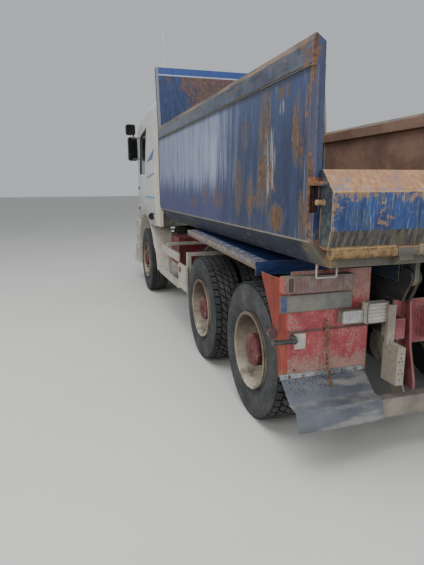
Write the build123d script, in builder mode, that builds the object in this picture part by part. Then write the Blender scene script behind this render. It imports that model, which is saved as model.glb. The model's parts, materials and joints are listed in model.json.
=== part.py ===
"""Three-axle dump truck: cab over the engine, steel tipping tub, telescopic hoist and twin rear wheels.

Millimetres. X runs forward, Y to the left and Z up. The origin is on the ground at the middle of the
overall length and width.
"""

import os
from math import cos, hypot, radians, sin

from build123d import *

os.makedirs("parts", exist_ok=True)

# Vehicle layout along X
front_overhang = 1400
wheelbase = 3500
bogie_spacing = 1355
rear_overhang = 1055
x_front = (front_overhang + wheelbase + bogie_spacing + rear_overhang) / 2
x_back = -x_front
x_steer = x_front - front_overhang
x_drive = (x_steer - wheelbase, x_steer - wheelbase - bogie_spacing)
x_bogie = (x_drive[0] + x_drive[1]) / 2
x_stern = x_drive[1] - 620

# Wheels
tyre_r = 536
tyre_w = 300
tread_w = 268
rim_r = 297
rim_wall = 20
front_wheel_y = 1054
twin_outer_y = 1088
twin_pitch = 345
spindle_r = 36
drive_spindle_r = 52
hub_r = 100
drive_hub_r = 120
drum_r = 215
bearing_clearance = 0.05
axle_z = tyre_r

# Running clearances
move_gap = 6
pin_clearance = 0.3
panel_gap = 6

# Chassis frame
rail_top = 1030
rail_h = 270
rail_flange = 80
rail_t = 10
frame_w = 850
rail_front = x_front - 255
rail_bottom = rail_top - rail_h
rail_outer = frame_w / 2
rail_inner = rail_outer - rail_t

# Subframe of the tipping gear
subframe_h = 120
subframe_w = 80
subframe_front = 540
subframe_top = rail_top + subframe_h

# Tipping hinge and tub
tip_x = x_stern - 110
tip_z = 1195
tip_pin_r = 30
tip_lug_r = 60
tub_rear = x_stern - 310
tub_length = 4117
tub_front = tub_rear + tub_length
tub_half = 1262
tub_floor_z = 1330
tub_floor_half = 1123
tub_chamfer_z = 1486
tub_top = 2552
tub_wall = 8
tub_floor_t = 10
rail_box_h = 152
rail_box_w = 80
rail_proud = 14
rail_edge_w = 22
rail_edge_h = 41
rail_fall = 40
post_w = 82
post_depth = 90
post_bevel = 28
latch_reach = 85
latch_t = 22
bulkhead_top = 3320
bulkhead_lean = 110

# Sills under the tub
sill_h = tub_floor_z - subframe_top - move_gap
sill_w = 80

# Tailgate
gate_axis_x = tub_rear - 70
gate_axis_z = 1425
gate_barrel_r = 35
gate_pin_r = 16
gate_half = tub_half - 66
gate_top = 1873
gate_pin_reach = gate_half - 30
fixed_barrel_y = 670
barrel_w = 140
barrel_gap = 6
bracket_w = 90

# Hoist
hoist_x = -520
hoist_pivot_z = 960
hoist_eye_z = 1255
hoist_bottom = 704
hoist_r = 115
hoist_wall = 10
hoist_stages = 5
eye_pin_r = 20
cheek_y = 72
cheek_t = 20
cheek_low = 1212

# Cab
cab_back = 1330
cab_bottom = 1180
cab_half = 1200
cab_wall = 60
cab_nose = x_front - 15
pillar_x = 3270
pillar_half = 1128
arch_r = 800
tilt_x = 3575
tilt_z = 735
tilt_pin_r = 22
tunnel_half = 400
tunnel_top = 1460

kingpin_y = 880
kingpin_r = 22


def wheel_plane(x, y, side):
    """Sketch plane through a wheel's middle: its x is the radius, its y points out from the truck."""
    return Plane(origin=(x, side * y, axle_z), x_dir=(0, 0, 1), z_dir=(-side, 0, 0))


def disc_plane(x, y, side):
    """Sketch plane across a wheel's axle, seen from outside the truck."""
    return Plane(origin=(x, side * y, axle_z), x_dir=(0, 0, 1), z_dir=(0, side, 0))


def spin_axis(x):
    """Line that the wheels at this place along X turn about."""
    return Axis((x, 0, axle_z), (0, 1, 0))


def save(part, name):
    """Labels a finished piece and writes it under its own name."""
    part.label = name
    export_step(part, "parts/" + name + ".step")


sides = (("left", 1), ("right", -1))

# Tyres and rims

rim_half = tyre_w / 2 - 6
rim_in = rim_r - rim_wall
tyre_flats = 48
bulge_r = 430


def tyre_outline(radius):
    """Regular outline with a flat at the bottom, so that the tyre stands on the ground."""
    RegularPolygon(radius, tyre_flats, major_radius=False, rotation=180 / tyre_flats)


def tyre_solid(x, y, side):
    """One tyre: a tread with sloped shoulders, and the bore that sits on the rim."""
    plane = disc_plane(x, y, side)
    with BuildPart() as tyre:
        with BuildSketch(plane):
            tyre_outline(tyre_r)
        extrude(amount=tyre_w / 2, both=True)
        for wall in tyre.faces().filter_by(Axis.Y):
            chamfer(wall.edges(), length=tyre_r - bulge_r, length2=(tyre_w - tread_w) / 2, reference=wall)
        with BuildSketch(plane):
            tyre_outline(rim_r)
        extrude(amount=tyre_w, both=True, mode=Mode.SUBTRACT)
    return tyre.part


for label, side in sides:
    save(tyre_solid(x_steer, front_wheel_y, side), "front_tyre_" + label)

    # Outset disc wheel on its hub, as radius and distance outwards
    front_disc = 106
    hub_face = 150
    cap_t = 12
    hand_holes = 10
    hand_hole_r = 26
    hub_back = -70
    disc_t = 18
    front_rim_section = (
        (rim_r, -rim_half),
        (rim_r, rim_half),
        (rim_in, rim_half),
        (rim_in, front_disc),
        (hub_r, front_disc),
        (hub_r, hub_face),
        (0, hub_face),
        (0, hub_face - cap_t),
        (spindle_r + bearing_clearance, hub_face - cap_t),
        (spindle_r + bearing_clearance, hub_back),
        (hub_r, hub_back),
        (hub_r, front_disc - disc_t),
        (rim_in, front_disc - disc_t),
        (rim_in, -rim_half),
    )
    plane = wheel_plane(x_steer, front_wheel_y, side)
    with BuildPart() as front_rim:
        with BuildSketch(plane):
            with BuildLine():
                Polyline(*front_rim_section, close=True)
            make_face()
        revolve(axis=spin_axis(x_steer))
        with Locations(plane * Location((0, 0, 0), (90, 0, 0))):
            with PolarLocations(hub_r + 0.6 * (rim_in - hub_r), hand_holes):
                Hole(hand_hole_r)
    save(front_rim.part, "front_rim_" + label)

drum_face = -250
for axle_name, x_axle in zip(("front", "rear"), x_drive):
    for label, side in sides:
        plane = wheel_plane(x_axle, twin_outer_y, side)
        outer_tyre = tyre_solid(x_axle, twin_outer_y, side)
        inner_tyre = tyre_solid(x_axle, twin_outer_y - twin_pitch, side)
        with BuildPart() as twin_tyres:
            add(outer_tyre)
            add(inner_tyre)
        save(twin_tyres.part, "twin_tyres_" + axle_name + "_" + label)

        # Deep-dish outer rim and mirrored inner rim, bolted back to back on the hub
        dish_rim = -60
        dish_hub = -rim_half + disc_t + 6
        spacer_r = drive_hub_r + 60
        wheel_hub_face = -20
        with BuildPart() as twin_rims:
            with BuildSketch(plane):
                with BuildLine():
                    Polyline(
                        (rim_r, -rim_half),
                        (rim_r, rim_half),
                        (rim_in, rim_half),
                        (rim_in, dish_rim),
                        (spacer_r, dish_hub),
                        (drive_hub_r, dish_hub),
                        (drive_hub_r, wheel_hub_face),
                        (0, wheel_hub_face),
                        (0, wheel_hub_face - cap_t),
                        (drive_spindle_r + bearing_clearance, wheel_hub_face - cap_t),
                        (drive_spindle_r + bearing_clearance, drum_face),
                        (drum_r, drum_face),
                        (drum_r, -twin_pitch + rim_half - disc_t),
                        (rim_in, -twin_pitch + rim_half - disc_t),
                        (rim_in, -twin_pitch - rim_half),
                        (rim_r, -twin_pitch - rim_half),
                        (rim_r, -twin_pitch + rim_half),
                        (spacer_r, -twin_pitch + rim_half),
                        (spacer_r, -rim_half),
                        close=True,
                    )
                make_face()
            revolve(axis=spin_axis(x_axle))
        save(twin_rims.part, "twin_rims_" + axle_name + "_" + label)

# Chassis

cross_member_t = 80
cross_member_h = 170
cross_members = (rail_front - 60, 900, 100, x_bogie, x_stern + 60)
tilt_bracket_t = 40
with BuildPart() as chassis_frame:
    with BuildSketch(Plane.YZ.offset(x_stern)):
        with Locations((rail_outer - rail_flange / 2, rail_top - rail_h / 2)):
            Rectangle(rail_flange, rail_h)
        with Locations((rail_inner - rail_flange / 2, rail_top - rail_h / 2)):
            Rectangle(rail_flange, rail_h - 2 * rail_t, mode=Mode.SUBTRACT)
        mirror(about=Plane.YZ)
    extrude(amount=rail_front - x_stern)
    with Locations(*[(x, 0, rail_top - rail_h / 2) for x in cross_members]):
        Box(cross_member_t, 2 * rail_inner, cross_member_h)
        Box(cross_member_t - 2 * rail_t, 2 * rail_inner - 160, cross_member_h - 2 * rail_t,
            mode=Mode.SUBTRACT)
    # Brackets that reach forward to the cab's tilt pivot
    for label, side in sides:
        with BuildSketch(Plane.XZ.offset(-side * rail_outer)):
            with BuildLine():
                Polyline(
                    (rail_front - 120, rail_bottom),
                    (rail_front, rail_bottom),
                    (rail_front, rail_top - 60),
                    (tilt_x + 30, tilt_z + 35),
                    (tilt_x + 30, tilt_z - 35),
                    (rail_front - 120, tilt_z - 35),
                    close=True,
                )
            make_face()
        extrude(amount=side * tilt_bracket_t)
    tilt_pin_length = tilt_bracket_t + 5 + tilt_bracket_t + 5
    for label, side in sides:
        with Locations(Location((tilt_x, side * (rail_outer - tilt_pin_length / 2), tilt_z), (90, 0, 0))):
            Cylinder(tilt_pin_r, tilt_pin_length)
save(chassis_frame.part, "chassis_frame")

hinge_plate_t = 20
hinge_plate_gap = 40
hoist_cheek_y = 150
hoist_cheek_t = 30
hoist_tie = 60
hoist_tie_reach = 290
trunnion_r = 30
with BuildPart() as tipper_subframe:
    for label, side in sides:
        with BuildSketch(Plane.YZ.offset(x_stern)):
            with Locations((side * (rail_outer - subframe_w / 2), rail_top + subframe_h / 2)):
                Rectangle(subframe_w, subframe_h)
                Rectangle(subframe_w - 2 * rail_t, subframe_h - 2 * rail_t, mode=Mode.SUBTRACT)
        extrude(amount=subframe_front - x_stern)
    for x in (subframe_front - 40, hoist_x + hoist_tie_reach, hoist_x - hoist_tie_reach, x_bogie):
        with Locations((x, 0, rail_top + subframe_h / 2)):
            Box(hoist_tie, 2 * (rail_outer - subframe_w), subframe_h - 20)
    # Hinge plates in pairs behind the rails, with their pin
    for label, side in sides:
        middle = rail_outer - subframe_w / 2
        for outer in (middle + hinge_plate_gap / 2 + hinge_plate_t, middle - hinge_plate_gap / 2):
            with BuildSketch(Plane.XZ.offset(-side * outer)):
                with Locations((tip_x, tip_z)):
                    Circle(tip_lug_r)
                with BuildLine():
                    Polyline(
                        (x_stern, rail_top),
                        (x_stern, subframe_top - 3),
                        (tip_x + tip_lug_r, subframe_top - 3),
                        (tip_x + tip_lug_r, tip_z),
                        (tip_x - tip_lug_r, tip_z),
                        (tip_x + 20, rail_top),
                        close=True,
                    )
                make_face()
            extrude(amount=side * hinge_plate_t)
        with Locations(Location((tip_x, side * middle, tip_z), (90, 0, 0))):
            Cylinder(tip_pin_r, hinge_plate_gap + 2 * hinge_plate_t)
    # Cradle of the hoist
    for label, side in sides:
        with BuildSketch(Plane.XZ.offset(-side * (hoist_cheek_y + hoist_cheek_t))):
            with BuildLine():
                Polyline(
                    (hoist_x - hoist_tie_reach, subframe_top - 10),
                    (hoist_x + hoist_tie_reach, subframe_top - 10),
                    (hoist_x + hoist_tie_reach, rail_top + 20),
                    (hoist_x + 70, hoist_pivot_z - 60),
                    (hoist_x - 70, hoist_pivot_z - 60),
                    (hoist_x - hoist_tie_reach, rail_top + 20),
                    close=True,
                )
            make_face()
            with Locations((hoist_x, hoist_pivot_z)):
                Circle(trunnion_r + bearing_clearance, mode=Mode.SUBTRACT)
        extrude(amount=side * hoist_cheek_t)
save(tipper_subframe.part, "tipper_subframe")

# Front axle and its steering knuckles
beam_w = 90
beam_h = 90
beam_top = axle_z - 61
boss_r = 48
boss_h = 110
with BuildPart() as front_axle_beam:
    with BuildSketch(Plane.YZ.offset(x_steer)):
        with BuildLine():
            Polyline(
                (0, beam_top),
                (560, beam_top),
                (740, axle_z + beam_h / 2),
                (kingpin_y, axle_z + beam_h / 2),
                (kingpin_y, axle_z - beam_h / 2),
                (790, axle_z - beam_h / 2),
                (600, beam_top - beam_h),
                (0, beam_top - beam_h),
                close=True,
            )
        make_face()
        mirror(about=Plane.YZ)
    extrude(amount=beam_w / 2, both=True)
    with Locations((x_steer, kingpin_y, axle_z), (x_steer, -kingpin_y, axle_z)):
        Cylinder(boss_r, boss_h)
        Cylinder(kingpin_r + bearing_clearance, boss_h, mode=Mode.SUBTRACT)
save(front_axle_beam.part, "front_axle_beam")

fork_t = 32
flange_y = 945
flange_t = 22
spindle_end = front_wheel_y + hub_face - cap_t - move_gap
for label, side in sides:
    with BuildPart() as knuckle:
        fork_z = boss_h / 2 + 1 + fork_t / 2
        with Locations((x_steer, side * kingpin_y, axle_z)):
            Cylinder(kingpin_r, 2 * (fork_z + fork_t / 2))
        with Locations((x_steer, side * kingpin_y, axle_z + fork_z),
                       (x_steer, side * kingpin_y, axle_z - fork_z)):
            Cylinder(boss_r - 6, fork_t)
        reach = flange_y - kingpin_y
        with Locations(
            (x_steer, side * (kingpin_y + reach / 2), axle_z + fork_z),
            (x_steer, side * (kingpin_y + reach / 2), axle_z - fork_z),
        ):
            Box(2 * (boss_r - 6), reach, fork_t)
        with Locations((x_steer, side * (flange_y + flange_t / 2), axle_z)):
            Box(2 * boss_r, flange_t, 2 * (fork_z + fork_t / 2))
        spindle_length = spindle_end - flange_y
        with Locations(Location((x_steer, side * (flange_y + spindle_length / 2), axle_z), (90, 0, 0))):
            Cylinder(spindle_r, spindle_length)
    save(knuckle.part, "steering_knuckle_" + label)

# Springs
leaf_w = 90
front_spring_y = rail_outer - leaf_w / 2
front_spring_half = 800
eye_z = 690
with BuildPart() as front_springs:
    for label, side in sides:
        with BuildSketch(Plane.XZ.offset(-side * front_spring_y)):
            with BuildLine():
                ThreePointArc(
                    (x_steer - front_spring_half, eye_z + 14),
                    (x_steer, beam_top + 72),
                    (x_steer + front_spring_half, eye_z + 14),
                )
                Line((x_steer + front_spring_half, eye_z + 14), (x_steer + front_spring_half, eye_z))
                ThreePointArc(
                    (x_steer + front_spring_half, eye_z),
                    (x_steer, beam_top + 8),
                    (x_steer - front_spring_half, eye_z),
                )
                Line((x_steer - front_spring_half, eye_z), (x_steer - front_spring_half, eye_z + 14))
            make_face()
        extrude(amount=leaf_w / 2, both=True)
        with Locations((x_steer, side * front_spring_y, beam_top + 20)):
            Box(170, leaf_w, 40)
        for end in (-1, 1):
            with Locations((x_steer + end * front_spring_half, side * front_spring_y,
                            (eye_z + rail_bottom) / 2)):
                Box(60, leaf_w - 10, rail_bottom - eye_z)
save(front_springs.part, "front_springs")

bogie_spring_y = rail_outer + 5 + leaf_w / 2
bogie_spring_half = bogie_spacing / 2 + 25
pad_top = axle_z + 96
trunnion_z = 470
with BuildPart() as bogie_springs:
    for label, side in sides:
        with BuildSketch(Plane.XZ.offset(-side * bogie_spring_y)):
            with BuildLine():
                ThreePointArc(
                    (x_bogie - bogie_spring_half, pad_top + 18),
                    (x_bogie, rail_bottom + 110),
                    (x_bogie + bogie_spring_half, pad_top + 18),
                )
                Line((x_bogie + bogie_spring_half, pad_top + 18), (x_bogie + bogie_spring_half, pad_top))
                ThreePointArc(
                    (x_bogie + bogie_spring_half, pad_top),
                    (x_bogie, rail_bottom + 10),
                    (x_bogie - bogie_spring_half, pad_top),
                )
                Line((x_bogie - bogie_spring_half, pad_top), (x_bogie - bogie_spring_half, pad_top + 18))
            make_face()
        extrude(amount=leaf_w / 2, both=True)
        with Locations((x_bogie, side * bogie_spring_y, (trunnion_z + rail_bottom + 14) / 2)):
            Box(200, leaf_w, rail_bottom + 14 - trunnion_z)
        with Locations((x_bogie, side * (rail_outer - rail_flange / 2), (trunnion_z + rail_bottom) / 2)):
            Box(260, rail_flange, rail_bottom - trunnion_z)
    with Locations(Location((x_bogie, 0, trunnion_z), (90, 0, 0))):
        Cylinder(60, 2 * (bogie_spring_y + leaf_w / 2))
save(bogie_springs.part, "bogie_springs")

# Driven axles
axle_tube_r = 62
banjo_r = 205
banjo_w = 220
prop_z = 600
pinion_reach = 330
backing_y = twin_outer_y + drum_face - 38
backing_t = 26
drive_spindle_end = twin_outer_y + wheel_hub_face - cap_t - move_gap
with BuildPart() as drive_axles:
    for x in x_drive:
        with Locations(Location((x, 0, axle_z), (90, 0, 0))):
            Cylinder(axle_tube_r, 2 * backing_y)
            Cylinder(drive_spindle_r, 2 * drive_spindle_end)
        for side in (1, -1):
            with Locations(Location((x, side * (backing_y + backing_t / 2), axle_z), (90, 0, 0))):
                Cylinder(drum_r - 12, backing_t)
            with Locations((x, side * bogie_spring_y, (axle_z + pad_top) / 2)):
                Box(120, leaf_w, pad_top - axle_z)
        with Locations(Location((x, 0, axle_z), (0, 90, 0))):
            Cylinder(banjo_r, banjo_w)
        with BuildSketch(Plane.YZ.offset(x + banjo_w / 2 - 5)):
            with Locations((0, prop_z)):
                Circle(120)
        with BuildSketch(Plane.YZ.offset(x + pinion_reach)):
            with Locations((0, prop_z)):
                Circle(72)
        loft()
save(drive_axles.part, "drive_axles")

gearbox_back = 1100
prop_r = 50
yoke_r = 72
yoke_t = 26
with BuildPart() as propshafts:
    for back, front in (
        (x_drive[0] + pinion_reach, gearbox_back),
        (x_drive[1] + pinion_reach, x_drive[0] - banjo_w / 2),
    ):
        with BuildSketch(Plane.YZ.offset(back)):
            with Locations((0, prop_z)):
                Circle(prop_r)
        extrude(amount=front - back)
        for start in (back, front - yoke_t):
            with BuildSketch(Plane.YZ.offset(start)):
                with Locations((0, prop_z)):
                    Circle(yoke_r)
            extrude(amount=yoke_t)
save(propshafts.part, "propshafts")

engine_back = 1900
engine_front = 3050
engine_top = 1380
engine_half = 310
with BuildPart() as engine_gearbox:
    with Locations(((engine_back + engine_front) / 2, 0, (640 + engine_top) / 2)):
        Box(engine_front - engine_back, 2 * engine_half, engine_top - 640)
    with Locations(((gearbox_back + engine_back) / 2, 0, 710)):
        Box(engine_back - gearbox_back, 380, 400)
    # Mounts that hang the block on the rails' webs
    with Locations((engine_back + 60, 0, rail_top - rail_h / 2),
                   (engine_front - 60, 0, rail_top - rail_h / 2)):
        Box(80, 2 * rail_inner, 60)
save(engine_gearbox.part, "engine_gearbox")

# Tanks and boxes beside the rails
bracket_t = 40
bracket_z = rail_top - 170
fuel_x = x_steer - 2505
fuel_len = 1150
fuel_w = 620
fuel_h = 600
fuel_z = 800
battery_x = x_steer - 1295
battery_len = 500
battery_h = 400
tank_r = 130
tank_len = 560
tank_x = (x_steer - 2695, x_steer - 2075)
silencer_x = x_steer - 1145
silencer_len = 280
silencer_w = 480
with BuildPart() as fuel_tank:
    with BuildSketch(Plane.YZ.offset(fuel_x)):
        with Locations((-(rail_outer + bracket_t + fuel_w / 2), fuel_z)):
            RectangleRounded(fuel_w, fuel_h, 90)
    extrude(amount=fuel_len)
    for x in (fuel_x + 250, fuel_x + fuel_len - 250):
        with Locations((x, -(rail_outer + bracket_t / 2), bracket_z)):
            Box(60, bracket_t, 260)
save(fuel_tank.part, "fuel_tank")

with BuildPart() as battery_box:
    with Locations((battery_x, rail_outer + 280, bracket_z)):
        Box(battery_len, 560, battery_h)
save(battery_box.part, "battery_box")

with BuildPart() as air_tanks:
    for x in tank_x:
        with Locations(Location((x, rail_outer + 30 + tank_r, bracket_z - 10), (0, 90, 0))):
            Cylinder(tank_r, tank_len)
        with Locations((x, rail_outer + bracket_t / 2, bracket_z - 10)):
            Box(50, bracket_t, 160)
save(air_tanks.part, "air_tanks")

with BuildPart() as exhaust_silencer:
    with Locations((silencer_x, -(rail_outer + bracket_t + silencer_w / 2), bracket_z - 30)):
        Box(silencer_len, silencer_w, 480)
    with Locations((silencer_x, -(rail_outer + bracket_t / 2), bracket_z)):
        Box(80, bracket_t, 200)
save(exhaust_silencer.part, "exhaust_silencer")

guard_y = 1222
guard_t = 26
guard_rear = x_drive[0] + 630
guard_plate = (guard_rear, guard_rear + 385)
# Height of a rail, then its rear and front ends
guard_bars = ((920, guard_plate[1] + 8, x_steer - 1485), (580, guard_plate[1] + 8, x_steer - 1255))
guard_posts = {1: (guard_rear + 55, guard_rear + 1115), -1: (guard_rear + 55, guard_rear + 315)}
guard_arm_z = rail_top - 25
with BuildPart() as side_guards:
    for label, side in sides:
        with Locations(((guard_plate[0] + guard_plate[1]) / 2, side * (guard_y - guard_t / 2), 710)):
            Box(guard_plate[1] - guard_plate[0], guard_t, 300)
        if side > 0:
            for z, start, end in guard_bars:
                with Locations(((start + end) / 2, side * (guard_y - guard_t / 2), z)):
                    Box(end - start, guard_t, 100)
        for x in guard_posts[side]:
            with Locations((x, side * (guard_y - guard_t - 25), (520 + guard_arm_z + 20) / 2)):
                Box(50, 50, guard_arm_z + 20 - 520)
            with Locations((x, side * (rail_outer + guard_y - guard_t) / 2, guard_arm_z)):
                Box(50, guard_y - guard_t - rail_outer, 40)
save(side_guards.part, "side_guards")

# Front wings, cab steps, bumper and lamps
wing_t = 8
wing_r = arch_r - 10
wing_in = 880
wing_out = 1200
wing_tail_x = 1268
wing_tail_z = 510
step_back = 3050
step_front = 3378
step_bottom = 350
step_top = cab_bottom - 15
with BuildPart() as front_wings:
    for label, side in sides:
        with BuildSketch(Plane.XZ.offset(-side * wing_in)):
            with BuildLine():
                rise = radians(8)
                front_end = (x_steer + wing_r * cos(rise), axle_z + wing_r * sin(rise))
                back_end = (x_steer - wing_r * cos(radians(28)), axle_z + wing_r * sin(radians(28)))
                ThreePointArc(front_end, (x_steer, axle_z + wing_r), back_end)
                Line(back_end, (wing_tail_x + 90, 760))
                Line((wing_tail_x + 90, 760), (wing_tail_x, wing_tail_z))
                Line((wing_tail_x, wing_tail_z), (wing_tail_x + wing_t, wing_tail_z))
                Line((wing_tail_x + wing_t, wing_tail_z), (wing_tail_x + 90 + wing_t, 756))
                inner_r = wing_r - wing_t
                inner_back = (x_steer - inner_r * cos(radians(28)), axle_z + inner_r * sin(radians(28)))
                inner_front = (x_steer + inner_r * cos(rise), axle_z + inner_r * sin(rise))
                Line((wing_tail_x + 90 + wing_t, 756), inner_back)
                ThreePointArc(inner_back, (x_steer, axle_z + wing_r - wing_t), inner_front)
                Line(inner_front, front_end)
            make_face()
        extrude(amount=-side * (wing_out - wing_in))
        with Locations((x_steer - wing_r + 25, side * (rail_outer + wing_out - 40) / 2, 850)):
            Box(50, wing_out - 40 - rail_outer, 40)
save(front_wings.part, "front_wings")

step_depth = 160
with BuildPart() as cab_steps:
    for label, side in sides:
        width = wing_out - wing_in
        middle = side * (wing_out + wing_in) / 2
        with Locations(((step_back + step_front) / 2, middle, (step_bottom + step_top) / 2)):
            Box(step_front - step_back, width, step_top - step_bottom)
        for low in (step_bottom + 50, step_bottom + 310, step_bottom + 570):
            with Locations(((step_back + step_front) / 2, side * (wing_out - step_depth / 2), low + 105)):
                Box(step_front - step_back - 80, step_depth, 210, mode=Mode.SUBTRACT)
        with Locations(((step_back + step_front) / 2, side * (rail_outer + wing_in) / 2, 830)):
            Box(100, wing_in - rail_outer, 80)
save(cab_steps.part, "cab_steps")

bumper_top = tilt_z - 35
bumper_bottom = 330
bumper_half = 1236
bumper_back = step_front + 6
bumper_wall = 30
lamp_y = 1010
lamp_w = 300
lamp_h = 170
lamp_z = 540


def bumper_outline(inset):
    """Half of the bumper's outline in plan, drawn in by inset."""
    half = bumper_half - inset
    nose = x_front - inset
    Line((bumper_back, 0), (bumper_back, half))
    Line((bumper_back, half), (x_front - 200, half))
    ThreePointArc((x_front - 200, half), (x_front - 70 - inset * 0.7, half - 75), (nose, half - 260))
    Line((nose, half - 260), (nose, 0))
    Line((nose, 0), (bumper_back, 0))


with BuildPart() as front_bumper:
    with BuildSketch(Plane.XY.offset(bumper_bottom)):
        with BuildLine():
            bumper_outline(0)
        make_face()
        mirror(about=Plane.XZ)
    extrude(amount=bumper_top - bumper_bottom)
    with BuildSketch(Plane.XY.offset(bumper_bottom + bumper_wall)):
        with BuildLine():
            bumper_outline(bumper_wall)
        make_face()
        mirror(about=Plane.XZ)
    extrude(amount=bumper_top - bumper_bottom - 2 * bumper_wall, mode=Mode.SUBTRACT)
    with Locations((x_front - 60, lamp_y, lamp_z), (x_front - 60, -lamp_y, lamp_z)):
        Box(400, lamp_w, lamp_h, mode=Mode.SUBTRACT)
    with Locations((x_front - 20, 0, 500)):
        Box(100, 900, 160, mode=Mode.SUBTRACT)
save(front_bumper.part, "front_bumper")

with BuildPart() as headlamps:
    with BuildSketch(Plane.XY.offset(lamp_z - lamp_h / 2)):
        with BuildLine():
            bumper_outline(10)
        make_face()
        mirror(about=Plane.XZ)
    extrude(amount=lamp_h)
    with Locations((x_front - 100, lamp_y, lamp_z), (x_front - 100, -lamp_y, lamp_z)):
        Box(240, lamp_w, lamp_h, mode=Mode.INTERSECT)
save(headlamps.part, "headlamps")

# Tandem fenders over the driven wheels
fender_in = 620
fender_out = 1250
fender_t = 6
fender_lip = 55
fender_front = (x_drive[0] + 415, 1316)
fender_back = (x_drive[1] - 160, 1255)
with BuildPart() as tandem_fenders:
    for label, side in sides:
        with BuildSketch(Plane.XZ.offset(-side * fender_in)):
            with BuildLine():
                Polyline(
                    fender_back,
                    fender_front,
                    (fender_front[0], fender_front[1] - fender_t),
                    (fender_back[0], fender_back[1] - fender_t),
                    close=True,
                )
            make_face()
        extrude(amount=-side * (fender_out - fender_in))
        with BuildSketch(Plane.XZ.offset(-side * (fender_out - fender_t))):
            with BuildLine():
                Polyline(
                    (fender_back[0], fender_back[1] - fender_t),
                    (fender_front[0], fender_front[1] - fender_t),
                    (fender_front[0], fender_front[1] - fender_lip),
                    (fender_back[0], fender_back[1] - fender_lip),
                    close=True,
                )
            make_face()
        extrude(amount=-side * fender_t)
        with Locations((fender_back[0] + fender_t / 2, side * (fender_in + fender_out) / 2,
                        fender_back[1] - 50)):
            Box(fender_t, fender_out - fender_in, 100)
        for x in (x_drive[0] + 330, x_bogie, x_drive[1] - 100):
            top = fender_back[1] + (x - fender_back[0]) * (fender_front[1] - fender_back[1]) / (
                fender_front[0] - fender_back[0]
            )
            with Locations((x, side * (rail_outer + fender_in + 200) / 2, top - fender_t - 48)):
                Box(50, fender_in + 200 - rail_outer, 100)
            with Locations((x, side * (rail_outer + 25), (rail_top - 120 + top - 60) / 2)):
                Box(50, 50, top - 60 - rail_top + 120)
save(tandem_fenders.part, "tandem_fenders")

# Splash guards behind the last wheels: side flange, bevelled corner and rear panel
guard_levels = ((1200, -240, -410), (900, -436, -520), (660, -537, -605), (540, -553, -612))
splash_out = 1240
splash_corner = 1200
splash_in = 615
splash_t = 6
splash_back = x_stern - 4
seam_z = 865
seam_h = 14
hook_y = 945
hook_z = 1274
hook_w = 160
hook_h = 66
hook_bar = 10
with BuildPart() as rear_splash_guards:
    for label, side in sides:
        for z, lead, trail in guard_levels:
            with BuildSketch(Plane.XY.offset(z)):
                with BuildLine():
                    Polyline(
                        (x_drive[1] + lead, side * splash_out),
                        (x_drive[1] + trail, side * splash_out),
                        (splash_back, side * splash_corner),
                        (splash_back, side * splash_in),
                        (splash_back + splash_t, side * splash_in),
                        (splash_back + splash_t, side * (splash_corner - splash_t)),
                        (x_drive[1] + trail, side * (splash_out - splash_t)),
                        (x_drive[1] + lead, side * (splash_out - splash_t)),
                        close=True,
                    )
                make_face()
        loft(ruled=True)
        with Locations((splash_back + splash_t / 2, side * (splash_in + splash_corner) / 2, 1230)):
            Box(splash_t, splash_corner - splash_in, 60)
        with Locations((splash_back - 3, side * (splash_in + splash_corner) / 2, seam_z)):
            Box(10, splash_corner - splash_in, seam_h)
        # Loop of flat bar over the guard's top edge
        with BuildSketch(Plane.YZ.offset(splash_back - hook_bar)):
            with Locations((side * hook_y, hook_z)):
                Rectangle(hook_w, hook_h)
                Rectangle(hook_w - 2 * hook_bar, hook_h - 2 * hook_bar, mode=Mode.SUBTRACT)
        extrude(amount=hook_bar + 2)
        with Locations((x_stern + 25, side * (rail_outer + splash_in + 120) / 2, 900)):
            Box(46, splash_in + 120 - rail_outer, 46)
save(rear_splash_guards.part, "rear_splash_guards")

# Rubber flaps: clamped below the splash guards and kicked back over the under-run bar
bar_front = x_stern - 160
bar_back = x_stern - 230
bar_low = 285
bar_high = 415
flap_t = 10
flap_in = splash_in + 25
flap_out = tub_half - 2
flap_line = (
    (splash_back, 560),
    (bar_front + 4, bar_high + 14),
    (bar_back - 6, bar_high + 6),
    (bar_back - 46, 300),
)
with BuildPart() as mud_flaps:
    for label, side in sides:
        with BuildSketch(Plane.XZ.offset(-side * flap_in)):
            with BuildLine():
                Polyline(*flap_line, *[(x, z + flap_t) for x, z in reversed(flap_line)], close=True)
            make_face()
        extrude(amount=-side * (flap_out - flap_in))
        # Clamp strip along the top edge
        with Locations((splash_back - 6, side * (flap_in + flap_out) / 2, flap_line[0][1] + 2)):
            Box(12, flap_out - flap_in, 34)
save(mud_flaps.part, "mud_flaps")

bar_t = 6
with BuildPart() as under_run_bar:
    with Locations(((bar_front + bar_back) / 2, 0, (bar_low + bar_high) / 2)):
        Box(bar_front - bar_back, 2380, bar_high - bar_low)
        Box(bar_front - bar_back - 2 * bar_t, 2380, bar_high - bar_low - 2 * bar_t, mode=Mode.SUBTRACT)
    for side in (1, -1):
        with BuildSketch(Plane.XZ.offset(-side * (rail_inner - 10))):
            with BuildLine():
                Polyline(
                    (x_stern + 220, rail_bottom),
                    (x_stern + 20, rail_bottom),
                    (bar_front - 20, bar_high - 20),
                    (bar_front, bar_low + 20),
                    (bar_front + 60, bar_low + 20),
                    close=True,
                )
            make_face()
        extrude(amount=-side * 12)
save(under_run_bar.part, "under_run_bar")

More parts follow.
